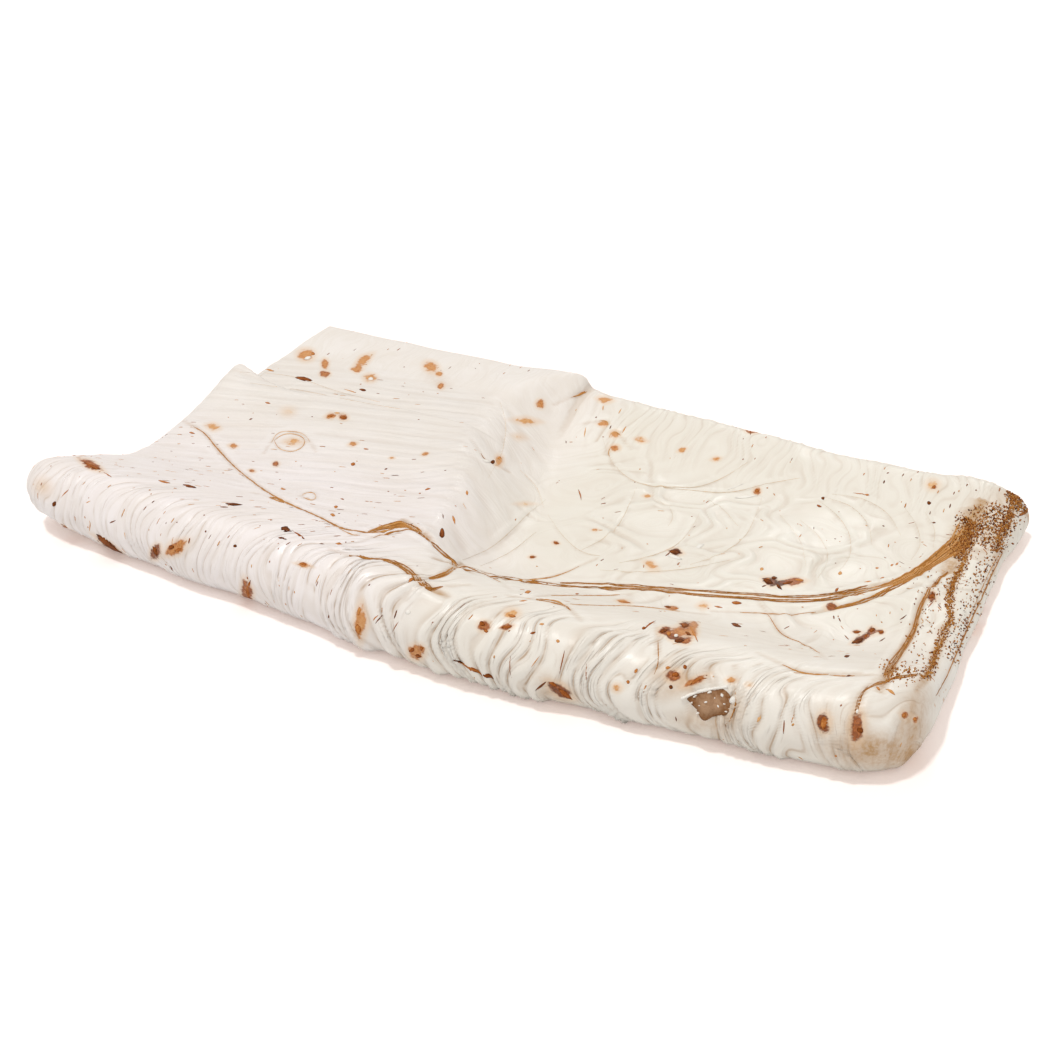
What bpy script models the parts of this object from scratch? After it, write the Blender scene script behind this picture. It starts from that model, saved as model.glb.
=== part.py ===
"""A folded lavash flatbread: one large soft sheet folded into a long low slab.

x runs along the slab, y towards its back and z up, in metres. The origin is on the
surface that the bread lies on, under the middle of its bounding box. The skin is one
height surface over a rounded plan outline, its edges rolled down to a mid-height seam
and back under to a flat bottom. A fat front roll, a raised flap on the left with a step
behind it, a ridge that falls to a shallow basin, gathered rims and a lifted nose are
all parts of that one closed skin.
"""
import bpy
import numpy as np

NAME = "lavash"

# Plan outline
LEFT_X = -0.2050
RIGHT_X = 0.2100
FRONT_Y = -0.1285
BACK_Y = 0.1250
BACK_SLANT = -0.0150
FRONT_EDGE_X = (-0.215, -0.172, -0.140, -0.105, -0.044, 0.014, 0.065, 0.107, 0.139, 0.173, 0.210)
FRONT_EDGE_Y = (-0.109, -0.114, -0.1165, -0.119, -0.123, -0.129, -0.126, -0.122, -0.1185, -0.1165, -0.1105)
LEFT_EDGE_Y = (-0.112, -0.098, -0.078, -0.050, 0.000, 0.040, 0.100, 0.125)
LEFT_EDGE_X = (-0.2185, -0.2205, -0.2120, -0.2050, -0.2055, -0.2070, -0.2075, -0.2060)
RIGHT_EDGE_Y = (-0.095, -0.061, -0.035, 0.000, 0.034, 0.084, 0.108, 0.125)
RIGHT_EDGE_X = (0.2135, 0.2136, 0.2120, 0.2094, 0.2076, 0.2066, 0.2078, 0.2082)
NOSE_PLACE = -0.1000
CORNER_FRONT_LEFT = 0.0180
CORNER_FRONT_RIGHT = 0.0250
CORNER_BACK_LEFT = 0.0070
CORNER_BACK_RIGHT = 0.0060

# Radius of the rolled edge and height of its seam as a share of the thickness
ROLL_RADIUS = 0.0175
LEFT_RADIUS = 0.0130
NOSE_RADIUS = 0.0230
NOSE_WIDTH = 0.0280
BACK_RADIUS = 0.0120
RIGHT_RADIUS = 0.0080
FRONT_SEAM = 0.48
LEFT_SEAM = 0.45
BACK_SEAM = 0.42
RIGHT_SEAM = 0.42
UNDERSIDE_SHARE = 0.85
EDGE_MIX_REACH = 0.0020
NOSE_LIFT = 0.0060
NOSE_LIFT_REACH = 0.0450
NOSE_LIFT_X = -0.2050
NOSE_LIFT_Y = -0.1120

# Heights of the left half: roll, trough, flap, step and back strip
ROLL_HEIGHT = 0.0360
FLAP_RISE = 0.0015
FLAP_RISE_START = 0.0900
FLAP_RISE_END = 0.1500
TROUGH_PLACE = 0.0680
TROUGH_FRONT_WIDTH = 0.0320
TROUGH_BACK_WIDTH = 0.0520
TROUGH_X = (-0.205, -0.130, -0.060, 0.020)
TROUGH_DEPTH = (0.0150, 0.0085, 0.0045, 0.0030)
STEP_X = (-0.205, -0.181, -0.151, -0.122, -0.092, -0.061, -0.030)
STEP_Y = (0.0380, 0.0340, 0.0275, 0.0310, 0.0330, 0.0325, 0.0340)
STEP_DROP = (0.0085, 0.0080, 0.0065, 0.0055, 0.0045, 0.0030, 0.0000)
STEP_WIDTH = 0.0025
STRIP_RISE = (0.0055, 0.0055, 0.0050, 0.0045, 0.0030, 0.0010, 0.0000)
STRIP_RISE_END = 0.1180
BACK_CORNER = (-0.205, 0.125, 0.030, 0.0030)
FLAP_CORNER = (-0.199, 0.031, 0.016, 0.0050)

# Heights of the right half: roll, basin and rims
CREST_X = (0.000, 0.040, 0.100, 0.150, 0.195)
CREST_HEIGHT = (0.0355, 0.0335, 0.0315, 0.0310, 0.0330)
CREST_END = 0.0220
BASIN_START = 0.0820
BASIN_HEIGHT = 0.0135
RIM_X = (-0.030, 0.010, 0.066, 0.120, 0.160, 0.190, 0.212)
RIM_HEIGHT = (0.0300, 0.0290, 0.0262, 0.0245, 0.0245, 0.0262, 0.0180)
RIM_FOOT = 0.0600
RIM_TOP = 0.1120
RIGHT_RIM_HEIGHT = 0.0040
RIGHT_RIM_FOOT = 0.1650
RIGHT_RIM_TOP = 0.1980

# The ridge between the halves: where its top ends and its slope meets the basin
RIDGE_Y = (-0.130, -0.100, -0.075, -0.045, -0.012, 0.040, 0.080, 0.100, 0.118)
RIDGE_CREST = (0.010, 0.002, -0.009, -0.020, -0.033, -0.058, -0.062, -0.050, -0.031)
RIDGE_FOOT = (0.024, 0.016, 0.012, 0.014, 0.010, -0.004, -0.020, -0.024, -0.019)
HUMP = (-0.048, 0.108, 0.024, 0.0025)

# Low swells: x, y, radius, height
SWELLS = (
    (0.030, 0.045, 0.022, 0.0018),
    (0.012, 0.000, 0.016, -0.0012),
    (0.072, 0.018, 0.026, -0.0010),
    (0.110, 0.040, 0.024, 0.0014),
    (0.145, 0.010, 0.022, -0.0012),
    (0.095, -0.025, 0.020, 0.0012),
    (-0.110, 0.000, 0.030, 0.0010),
    (-0.150, -0.040, 0.024, -0.0010),
)

# Gathered folds: height, distance between two folds, slant up the roll's face and over its top
ROLL_FOLD_HEIGHT = 0.0006
ROLL_FOLD_PITCH = 0.0200
ROLL_FOLD_SLANT_FACE = 0.35
ROLL_FOLD_SLANT_TOP = 1.00
ROLL_FOLD_LEAST = 0.35
ROLL_FOLD_GROWTH = (-0.020, 0.040)
ROLL_FOLD_FADE = (0.030, 0.060)
RIM_FOLD_HEIGHT = 0.0005
RIM_FOLD_PITCH = 0.0190
RIM_FOLD_LEAN = 0.30
RIM_FOLD_RISE = (0.070, 0.105)
RIM_FOLD_START = (-0.020, 0.010)
FOLD_SWAY = 1.5
FOLD_SWAY_LENGTH = 0.0130

# Slow waves of the outline: height, the two lengths, the start on each edge
EDGE_WAVE = 0.0010
EDGE_WAVE_LENGTHS = (0.0817, 0.0446)
FRONT_WAVE_SHIFT = 0.7
BACK_WAVE_SHIFT = 1.9
LEFT_WAVE_SHIFT = 0.5
RIGHT_WAVE_SHIFT = 0.0
SIDE_WAVE_SHARE = 0.4

# Moves the middle of the bounding box to the origin
CENTRE_SHIFT = (0.0024, 0.0004)

# Grid: rows and columns across each rolled edge and between the edges
EDGE_STEPS = 5
COLUMNS = 70
ROWS = 34
STEP_ROW = 0.637
STEP_ROW_WIDTH = 0.030
STEP_ROW_CROWDING = 2.5
PLAN_ROUNDS = 3
UNDERSIDE_INSETS = (0.0015, 0.0050, 0.0100, 0.0155, 0.0300, 0.0520)

# Skin
BREAD_COLOUR = (0.84, 0.79, 0.70)
BREAD_ROUGHNESS = 0.45


def ramp(start, end, t):
    """An S-shaped rise from 0 at start to 1 at end."""
    share = np.clip((t - start) / (end - start), 0.0, 1.0)
    return share * share * (3.0 - 2.0 * share)


def bell(t):
    """A bell of height 1 at t = 0."""
    return np.exp(-t * t)


def through(t, knots, values):
    """A smooth cubic through the values at the knots, level beyond the ends."""
    knots, values = np.asarray(knots), np.asarray(values)
    slopes = np.gradient(values, knots)
    i = np.clip(np.searchsorted(knots, t) - 1, 0, len(knots) - 2)
    width = knots[i + 1] - knots[i]
    f = np.clip((t - knots[i]) / width, 0.0, 1.0)
    start = (1 + 2 * f) * (1 - f) ** 2 * values[i] + f * (1 - f) ** 2 * width * slopes[i]
    end = f * f * (3 - 2 * f) * values[i + 1] + f * f * (f - 1) * width * slopes[i + 1]
    return start + end


def swell(x, y, centre_x, centre_y, radius, rise):
    """A low round swell of a height rise, or a dip where rise is below 0."""
    return rise * bell(np.hypot(x - centre_x, y - centre_y) / radius)


def wavy(t, shift):
    """Two slow waves along an edge, one riding on the other."""
    long_wave, short_wave = (np.sin(2 * np.pi * t / length + shift) for length in EDGE_WAVE_LENGTHS)
    return EDGE_WAVE * (0.6 * long_wave + 0.4 * short_wave)


def front_edge(x):
    """The bowed front edge."""
    return through(x, FRONT_EDGE_X, FRONT_EDGE_Y) + wavy(x, FRONT_WAVE_SHIFT)


def back_edge(x):
    """The nearly straight back edge."""
    return BACK_Y + BACK_SLANT * x + wavy(x, BACK_WAVE_SHIFT)


def left_edge(y):
    """The left edge, which bulges out at the nose."""
    return through(y, LEFT_EDGE_Y, LEFT_EDGE_X) + SIDE_WAVE_SHARE * wavy(y, LEFT_WAVE_SHIFT)


def right_edge(y):
    """The right edge, full at the front corner and drawn out to a tip at the back."""
    return through(y, RIGHT_EDGE_Y, RIGHT_EDGE_X) + SIDE_WAVE_SHARE * wavy(y, RIGHT_WAVE_SHIFT)


def corner_radius(x, y):
    """The plan radius of the corner nearest to a place."""
    front = np.where(x < 0, CORNER_FRONT_LEFT, CORNER_FRONT_RIGHT)
    back = np.where(x < 0, CORNER_BACK_LEFT, CORNER_BACK_RIGHT)
    return np.where(y < 0, front, back)


def corner_inset(x, y, y_front, y_back):
    """How far a quarter circle lies inside its corner at a distance from the edge."""
    radius = corner_radius(x, y)
    off = np.clip(radius - np.minimum(y - y_front, y_back - y), 0.0, radius)
    return radius - np.sqrt(radius * radius - off * off)


def plan(u, v):
    """The plan place of grid parameters u (along) and v (front to back).

    v runs between the front and back edges. u runs between the left and right edges,
    which draw in along a quarter circle where a row passes a corner.
    """
    x = LEFT_X + (RIGHT_X - LEFT_X) * u
    y = front_edge(x) + (back_edge(x) - front_edge(x)) * v
    for _ in range(PLAN_ROUNDS):
        left, right = left_edge(y), right_edge(y)
        x_left = left + corner_inset(left, y, front_edge(x), back_edge(x))
        x_right = right - corner_inset(right, y, front_edge(x), back_edge(x))
        x = x_left + (x_right - x_left) * u
        y = front_edge(x) + (back_edge(x) - front_edge(x)) * v
    return x, y


def edge_distances(x, y):
    """Distances to the left, right, front and back edges, never below 0."""
    distances = (x - left_edge(y), right_edge(y) - x, y - front_edge(x), back_edge(x) - y)
    return [np.maximum(d, 0.0) for d in distances]


def outline_distance(x, y):
    """Distance inwards from the outline with its rounded corners."""
    left, right, front, back = edge_distances(x, y)
    radius = corner_radius(x, y)
    side, end = np.minimum(left, right), np.minimum(front, back)
    inside = np.hypot(np.maximum(radius - side, 0.0), np.maximum(radius - end, 0.0))
    near = (side < radius) & (end < radius)
    return np.where(near, np.maximum(radius - inside, 0.0), np.minimum(side, end))


def edge_mix(x, y, values):
    """A value for each of the four edges, mixed by nearness."""
    weights = [1.0 / (d + EDGE_MIX_REACH) ** 2 for d in edge_distances(x, y)]
    total = sum(weights)
    return sum(w * value for w, value in zip(weights, values)) / total


def step_line(x):
    """Where the flap's back edge runs."""
    return through(x, STEP_X, STEP_Y)


def left_height(x, y, s):
    """Front roll, trough, flap, the step behind the flap and the back strip."""
    width = np.where(s < TROUGH_PLACE, TROUGH_FRONT_WIDTH, TROUGH_BACK_WIDTH)
    trough = through(x, TROUGH_X, TROUGH_DEPTH) * bell((s - TROUGH_PLACE) / width)
    flap = FLAP_RISE * ramp(FLAP_RISE_START, FLAP_RISE_END, s)
    line = step_line(x)
    drop = through(x, STEP_X, STEP_DROP) * ramp(line - STEP_WIDTH, line + STEP_WIDTH, y)
    strip = through(x, STEP_X, STRIP_RISE) * ramp(line, STRIP_RISE_END, y)
    curl = swell(x, y, *FLAP_CORNER) * (1.0 - ramp(line, line + STEP_WIDTH, y))
    return ROLL_HEIGHT - trough + flap - drop + strip + swell(x, y, *BACK_CORNER) + curl


def right_height(x, y, s):
    """The roll's inner slope, the basin, its back rim and the low right rim."""
    slope = 1.0 - ramp(CREST_END, BASIN_START, s)
    front = (through(x, CREST_X, CREST_HEIGHT) - BASIN_HEIGHT) * slope
    rim = (through(x, RIM_X, RIM_HEIGHT) - BASIN_HEIGHT) * ramp(RIM_FOOT, RIM_TOP, y)
    side = RIGHT_RIM_HEIGHT * ramp(RIGHT_RIM_FOOT, RIGHT_RIM_TOP, x)
    side = side * (1.0 - slope) * (1.0 - ramp(RIM_FOOT, RIM_TOP, y))
    return BASIN_HEIGHT + front + rim + side


def height(x, y):
    """The top's height without folds: the two halves, joined along the ridge."""
    s = y - front_edge(x)
    crest, foot = through(y, RIDGE_Y, RIDGE_CREST), through(y, RIDGE_Y, RIDGE_FOOT)
    right = ramp(crest, foot, x)
    z = left_height(x, y, s) * (1.0 - right) + right_height(x, y, s) * right
    z = z + swell(x, y, *HUMP) * (1.0 - right)
    return z + sum(swell(x, y, *values) for values in SWELLS)


def quarter_round(share):
    """A quarter circle: 0 at 0, 1 from 1 on."""
    share = np.clip(share, 0.0, 1.0)
    return np.sqrt(1.0 - (1.0 - share) ** 2)


def nose_lift(x, y):
    """How far the nose is held clear of the surface under it."""
    away = np.hypot(x - NOSE_LIFT_X, y - NOSE_LIFT_Y)
    return NOSE_LIFT * (1.0 - ramp(0.0, NOSE_LIFT_REACH, away))


def edge_radius(x, y):
    """The radius of the rolled edge nearest to a place, wider on the left round the nose."""
    left = LEFT_RADIUS + (NOSE_RADIUS - LEFT_RADIUS) * bell((y - NOSE_PLACE) / NOSE_WIDTH)
    return edge_mix(x, y, (left, RIGHT_RADIUS, ROLL_RADIUS, BACK_RADIUS))


def seam_height(x, y):
    """The height at which the top side meets the underside."""
    share = edge_mix(x, y, (LEFT_SEAM, RIGHT_SEAM, FRONT_SEAM, BACK_SEAM))
    return share * height(x, y) + 0.5 * nose_lift(x, y)


def top_side(x, y):
    """The top side's height: the height surface, rolled down to the seam at the outline."""
    seam = seam_height(x, y)
    roll = quarter_round(outline_distance(x, y) / edge_radius(x, y))
    return seam + (height(x, y) - seam) * roll


def underside(x, y):
    """The underside's height: rolled in from the seam to the flat bottom."""
    lift = nose_lift(x, y)
    seam = seam_height(x, y)
    reach = UNDERSIDE_SHARE * edge_radius(x, y)
    return lift + (seam - lift) * (1.0 - quarter_round(outline_distance(x, y) / reach))


def climb(s):
    """Length of the way up the roll's round face and over its top, at a depth s."""
    face = np.clip(s / ROLL_RADIUS, 0.0, 1.0)
    return ROLL_RADIUS * np.arccos(1.0 - face) + np.maximum(s - ROLL_RADIUS, 0.0)


def folds(x, y):
    """Gathered folds: slanting over the front roll, straight across the back rim."""
    s = y - front_edge(x)
    way = climb(s)
    slanted = x - ROLL_FOLD_SLANT_FACE * way
    slanted = slanted - (ROLL_FOLD_SLANT_TOP - ROLL_FOLD_SLANT_FACE) * np.maximum(way - ROLL_RADIUS, 0.0)
    wave = np.sin(2 * np.pi * slanted / ROLL_FOLD_PITCH + FOLD_SWAY * np.sin(slanted / FOLD_SWAY_LENGTH))
    strength = ROLL_FOLD_LEAST + (1.0 - ROLL_FOLD_LEAST) * ramp(*ROLL_FOLD_GROWTH, x)
    roll = ROLL_FOLD_HEIGHT * wave * strength * (1.0 - ramp(*ROLL_FOLD_FADE, s))
    leaning = x + RIM_FOLD_LEAN * y
    wave = np.sin(2 * np.pi * leaning / RIM_FOLD_PITCH + FOLD_SWAY * np.sin(leaning / FOLD_SWAY_LENGTH))
    return roll + RIM_FOLD_HEIGHT * wave * ramp(*RIM_FOLD_RISE, y) * ramp(*RIM_FOLD_START, x)


def grid_normals(points):
    """Unit normals of a grid of points, from the differences along its two ways."""
    along = np.gradient(points, axis=1)
    across = np.gradient(points, axis=0)
    normals = np.cross(along, across)
    return normals / np.linalg.norm(normals, axis=-1, keepdims=True)


def spacing(count, start_share, end_share, crowding=0.0):
    """Grid parameters from 0 to 1, closer over the rolled edges and, if crowded, at the step."""
    bend = 1.0 - np.cos(np.linspace(0.0, np.pi / 2, EDGE_STEPS + 1))
    fine = np.linspace(start_share, 1.0 - end_share, 1000)
    density = 1.0 + crowding * bell((fine - STEP_ROW) / STEP_ROW_WIDTH)
    passed = np.cumsum(density) - density[0]
    middle = np.interp(np.linspace(0.0, passed[-1], count + 1)[1:-1], passed, fine)
    return np.concatenate([start_share * bend, middle, 1.0 - end_share * bend[::-1]])


def top_grid():
    """Rows of points of the top side, front to back, with the folds raised on it."""
    length, depth = RIGHT_X - LEFT_X, BACK_Y - FRONT_Y
    columns = spacing(COLUMNS, LEFT_RADIUS / length, RIGHT_RADIUS / length)
    rows = spacing(ROWS, ROLL_RADIUS / depth, BACK_RADIUS / depth, STEP_ROW_CROWDING)
    u, v = np.meshgrid(columns, rows)
    x, y = plan(u, v)
    points = np.stack([x, y, top_side(x, y)], axis=-1)
    return u, v, points + folds(x, y)[..., None] * grid_normals(points)


def border(grid):
    """The grid's outer loop, once round anticlockwise from the front left."""
    return np.concatenate([grid[0, :-1], grid[:-1, -1], grid[-1, :0:-1], grid[:0:-1, 0]])


def underside_ring(u, v, inset):
    """The outline drawn in by an inset, on the underside."""
    along = 1.0 - 2.0 * inset / (RIGHT_X - LEFT_X)
    across = 1.0 - 2.0 * inset / (BACK_Y - FRONT_Y)
    x, y = plan(0.5 + (u - 0.5) * along, 0.5 + (v - 0.5) * across)
    return np.stack([x, y, underside(x, y)], axis=-1)


def skin_mesh():
    """Points and faces of the closed skin: the top grid, rings under it and a flat bottom."""
    u, v, top = top_grid()
    rows, columns = u.shape
    index = np.arange(rows * columns).reshape(rows, columns)
    quads = np.stack([index[:-1, :-1], index[:-1, 1:], index[1:, 1:], index[1:, :-1]], axis=-1)
    faces = quads.reshape(-1, 4).tolist()
    points = [top.reshape(-1, 3)]
    outer = border(index)
    border_u, border_v = border(u), border(v)
    start = rows * columns
    for inset in UNDERSIDE_INSETS:
        points.append(underside_ring(border_u, border_v, inset))
        inner = start + np.arange(len(outer))
        ring = np.stack([outer, inner, np.roll(inner, -1), np.roll(outer, -1)], axis=-1)
        faces += ring.tolist()
        outer = inner
        start += len(inner)
    faces.append(outer[::-1].tolist())
    return np.concatenate(points), faces


def bread_material():
    """Pale, softly shining baked dough."""
    material = bpy.data.materials.new("bread")
    material.use_nodes = True
    shader = material.node_tree.nodes["Principled BSDF"]
    shader.inputs["Base Color"].default_value = (*BREAD_COLOUR, 1.0)
    shader.inputs["Roughness"].default_value = BREAD_ROUGHNESS
    shader.inputs["Metallic"].default_value = 0.0
    return material


def build():
    """Make the bread as one closed object."""
    for thing in list(bpy.data.objects):
        bpy.data.objects.remove(thing, do_unlink=True)
    points, faces = skin_mesh()
    points[:, :2] += CENTRE_SHIFT
    mesh = bpy.data.meshes.new(NAME)
    mesh.from_pydata(points.tolist(), [], faces)
    mesh.materials.append(bread_material())
    mesh.shade_smooth()
    bpy.context.scene.collection.objects.link(bpy.data.objects.new(NAME, mesh))


build()
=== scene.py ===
"""The looks of a folded lavash flatbread: its fine skin, toast marks, creases and grains.

The bread's form is the same height surface as in the part: x runs along the slab, y to its
back and z up, in metres. Places of single marks are pixels of the 1056 pixel picture that
the scene's own camera takes, and are carried to the skin along that camera's rays.
"""
from collections import namedtuple

import bpy
import numpy as np
from bpy.props import FloatProperty, FloatVectorProperty, PointerProperty
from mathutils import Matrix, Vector
from mathutils.bvhtree import BVHTree


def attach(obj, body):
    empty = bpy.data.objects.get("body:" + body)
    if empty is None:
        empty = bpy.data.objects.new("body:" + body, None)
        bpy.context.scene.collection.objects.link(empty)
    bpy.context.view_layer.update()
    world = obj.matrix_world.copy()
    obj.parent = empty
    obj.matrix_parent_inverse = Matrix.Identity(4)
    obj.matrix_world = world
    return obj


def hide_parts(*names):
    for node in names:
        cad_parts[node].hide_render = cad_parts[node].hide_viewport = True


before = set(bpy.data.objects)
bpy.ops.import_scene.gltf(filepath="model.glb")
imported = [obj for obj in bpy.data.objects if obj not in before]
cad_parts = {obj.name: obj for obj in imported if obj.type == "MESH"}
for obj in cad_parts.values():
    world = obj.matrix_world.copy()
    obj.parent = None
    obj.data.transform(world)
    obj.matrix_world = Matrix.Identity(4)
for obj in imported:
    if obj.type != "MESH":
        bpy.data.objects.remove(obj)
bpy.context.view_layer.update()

bl_info = {
    "name": "Folded Lavash",
    "version": (1, 0, 0),
    "blender": (4, 5, 0),
    "location": "3D View > Sidebar > Lavash",
    "description": "Builds a folded lavash flatbread with its toast marks on a pale floor",
    "category": "Add Mesh",
}

# Plan outline
LEFT_X = -0.205
RIGHT_X = 0.21
FRONT_Y = -0.1285
BACK_Y = 0.125
BACK_SLANT = -0.015
FRONT_EDGE_X = (-0.215, -0.172, -0.14, -0.105, -0.044, 0.014, 0.065, 0.107, 0.139, 0.173, 0.21)
FRONT_EDGE_Y = (-0.109, -0.114, -0.1165, -0.119, -0.123, -0.129, -0.126, -0.122, -0.1185, -0.1165, -0.1105)
LEFT_EDGE_Y = (-0.112, -0.098, -0.078, -0.05, 0.000, 0.04, 0.1, 0.125)
LEFT_EDGE_X = (-0.2185, -0.2205, -0.212, -0.205, -0.2055, -0.207, -0.2075, -0.206)
RIGHT_EDGE_Y = (-0.095, -0.061, -0.035, 0.000, 0.034, 0.084, 0.108, 0.125)
RIGHT_EDGE_X = (0.2135, 0.2136, 0.212, 0.2094, 0.2076, 0.2066, 0.2078, 0.2082)
NOSE_PLACE = -0.1
CORNER_FRONT_LEFT = 0.018
CORNER_FRONT_RIGHT = 0.025
CORNER_BACK_LEFT = 0.007
CORNER_BACK_RIGHT = 0.006

# Radius of the rolled edge and height of its seam as a share of the thickness
ROLL_RADIUS = 0.0175
LEFT_RADIUS = 0.013
NOSE_RADIUS = 0.023
NOSE_WIDTH = 0.028
BACK_RADIUS = 0.012
RIGHT_RADIUS = 0.008
FRONT_SEAM = 0.48
LEFT_SEAM = 0.45
BACK_SEAM = 0.42
RIGHT_SEAM = 0.42
UNDERSIDE_SHARE = 0.85
EDGE_MIX_REACH = 0.002
NOSE_LIFT = 0.006
NOSE_LIFT_REACH = 0.045
NOSE_LIFT_X = -0.205
NOSE_LIFT_Y = -0.112

# Heights of the left half: roll, trough, flap, step and back strip
ROLL_HEIGHT = 0.036
FLAP_RISE = 0.0015
FLAP_RISE_START = 0.09
FLAP_RISE_END = 0.15
TROUGH_PLACE = 0.068
TROUGH_FRONT_WIDTH = 0.032
TROUGH_BACK_WIDTH = 0.052
TROUGH_X = (-0.205, -0.13, -0.06, 0.02)
TROUGH_DEPTH = (0.015, 0.0085, 0.0045, 0.003)
STEP_X = (-0.205, -0.181, -0.151, -0.122, -0.092, -0.061, -0.03)
STEP_Y = (0.038, 0.034, 0.0275, 0.031, 0.033, 0.0325, 0.034)
STEP_DROP = (0.0085, 0.008, 0.0065, 0.0055, 0.0045, 0.003, 0.0000)
STEP_WIDTH = 0.0016
STRIP_RISE = (0.0055, 0.0055, 0.005, 0.0045, 0.003, 0.001, 0.0000)
STRIP_RISE_END = 0.118
BACK_CORNER = (-0.205, 0.125, 0.03, 0.003)
FLAP_CORNER = (-0.199, 0.031, 0.016, 0.005)

# Heights of the right half: roll, basin and rims
CREST_X = (0.000, 0.04, 0.1, 0.15, 0.195)
CREST_HEIGHT = (0.0355, 0.0335, 0.0315, 0.031, 0.033)
CREST_END = 0.022
BASIN_START = 0.082
BASIN_HEIGHT = 0.0135
RIM_X = (-0.03, 0.01, 0.066, 0.12, 0.16, 0.19, 0.212)
RIM_HEIGHT = (0.03, 0.029, 0.0262, 0.0245, 0.0245, 0.0262, 0.018)
RIM_FOOT = 0.06
RIM_TOP = 0.112
RIGHT_RIM_HEIGHT = 0.004
RIGHT_RIM_FOOT = 0.165
RIGHT_RIM_TOP = 0.198

# The ridge between the halves: where its top ends and its slope meets the basin
RIDGE_Y = (-0.13, -0.1, -0.075, -0.045, -0.012, 0.04, 0.08, 0.1, 0.118)
RIDGE_CREST = (0.01, 0.002, -0.009, -0.02, -0.033, -0.058, -0.062, -0.05, -0.031)
RIDGE_FOOT = (0.024, 0.016, 0.012, 0.014, 0.01, -0.004, -0.02, -0.024, -0.019)
HUMP = (-0.048, 0.108, 0.024, 0.0025)

# Low swells: x, y, radius, height
SWELLS = (
    (0.03, 0.045, 0.022, 0.0018), (0.012, 0.000, 0.016, -0.0012),
    (0.072, 0.018, 0.026, -0.001), (0.11, 0.04, 0.024, 0.0014),
    (0.145, 0.01, 0.022, -0.0012), (0.095, -0.025, 0.02, 0.0012),
    (-0.11, 0.000, 0.03, 0.001), (-0.15, -0.04, 0.024, -0.001),
)

# Slow waves of the outline: height, the two lengths, the start on each edge
EDGE_WAVE = 0.001
EDGE_WAVE_LENGTHS = (0.0817, 0.0446)
FRONT_WAVE_SHIFT = 0.7
BACK_WAVE_SHIFT = 1.9
LEFT_WAVE_SHIFT = 0.5
RIGHT_WAVE_SHIFT = 0.0
SIDE_WAVE_SHARE = 0.4
CENTRE_SHIFT = (0.0024, 0.0004)
PLAN_ROUNDS = 3

# How the gathered dough lies: lines lean up the roll's face, then turn along the slab
FACE_CURL = 15.0
CURL_PLACE = (0.008, 0.002)
CURL_RANGE = (-0.018, 0.032)
LEFT_CROWDING = 0.32
CROWDING_PLACE = (-0.06, 0.01)
ROPE_WANDER = 0.0056
ROPE_SIZE = (0.023, 0.031)
TURN_START = 0.02
TURN_LEFT = 55.0
TURN_RIGHT = 26.0
TURN_REACH = 0.05
RIM_LEAN = 0.08
RIDGE_LEAN = 0.6
BACK_ZONE = (0.066, 0.088)
BASIN_ZONE = (0.035, 0.075)
FOLD_SKEW = 0.85
FOLD_LEAST = 0.34
FOLD_GROWTH = (-0.07, 0.01)
FOLD_FADE = (0.024, 0.046)
LINE_FADE = (0.028, 0.052)
CREST_CUT = 0.011
LINE_LEAST = 0.07
CORNER_BULGE = (0.192, -0.096, 0.02)
CORNER_CALM = 0.85
RIM_FOLD_PITCH = 0.0052
RIDGE_FOLD_PITCH = 0.0085
FOLD_LENGTH = 0.022
FOLD_STRENGTH = (0.62, 1.1)
FOLD_STRENGTH_RANGE = (0.06, 1.5)
RIGHT_HALF = (-0.06, 0.02)
BACK_GATHERS = (-0.05, 0.02)

# How folds wander, slowly and quickly: the size of a swell across and along, in fold pitches,
# and by how many folds it moves them
FOLD_WANDERS = ((3.1, 4.6, 1.35), (1.4, 4.2, 0.46))

# How strong the drawn lines are in each zone, where those of the rim and the fans start, and
# from which steepness of their count they show. The lines are painted shade in the fold valleys,
# with grooves in the bump under them
FRONT_LINES = (0.20, 0.95)
RIM_LINES = 0.24
RIM_LINES_START = (0.082, 0.100)
RIDGE_LINES = 0.07
FAN_LINES = 0.26
FAN_LINES_START = (0.0, 0.0022)
LINE_STEEPNESS = (0.20, 0.60)

# Relief over and between the folds, with sizes of swells of noise: patches of lower folds, lines
# drawn along the slab, wrinkles of the ridge, petals of the fans and low swells
PATCH_SIZE = (0.026, 0.022)
DRAWN_SIZE = (0.050, 0.0055)
DRAWN_LEAN = 0.15
DRAWN_START = (0.035, 0.060)
DRAWN_SHARE = 0.18
WRINKLE_SIZE = (0.0105, 0.034)
FAN_WANDER_SIZE = 0.021
FAN_HOLE = (0.006, 0.016)
PETAL_SIZE = 0.030
PETAL_LIP = 0.0030
PETAL_GROOVE = 0.0018
SWELL_SIZE = (0.030, 0.021)
RIDGE_ZONE = (0.03, 0.06)
CREST_CUT_X = (-0.040, 0.030)

# Warmer cream to the right and to the back, how deep a recess is for full painted shade, and
# where the underside gets its painted shade. The paler pink cream of the left reaches over the
# ridge's slope, where it faces away from the key light, and lightens it there: painted light
WARM_RIGHT = 0.80
WARM_X = (-0.035, 0.040)
WARM_BACK = 0.5
WARM_DEPTH = (0.07, 0.13)
HOLLOW_DEPTH = 0.0004
UNDER_SHADE = (0.006, 0.014)

# Fans of arcs in the basin: middle of the arcs, and how far each fan reaches
FANS = (
    (0.044, -0.018, 0.034), (0.057, 0.021, 0.036), (0.086, -0.01, 0.034),
    (0.09, 0.035, 0.034), (0.12, 0.01, 0.038), (0.128, 0.048, 0.032),
    (0.15, 0.018, 0.036), (0.17, -0.02, 0.036), (0.174, 0.05, 0.03),
    (0.02, 0.04, 0.034), (0.062, 0.06, 0.032), (0.124, -0.035, 0.036),
)
FAN_SIDE = (0.5, 0.87)
FAN_PITCH = 0.0075
FAN_LIP = 0.002
FAN_WANDER = 0.0085

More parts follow.
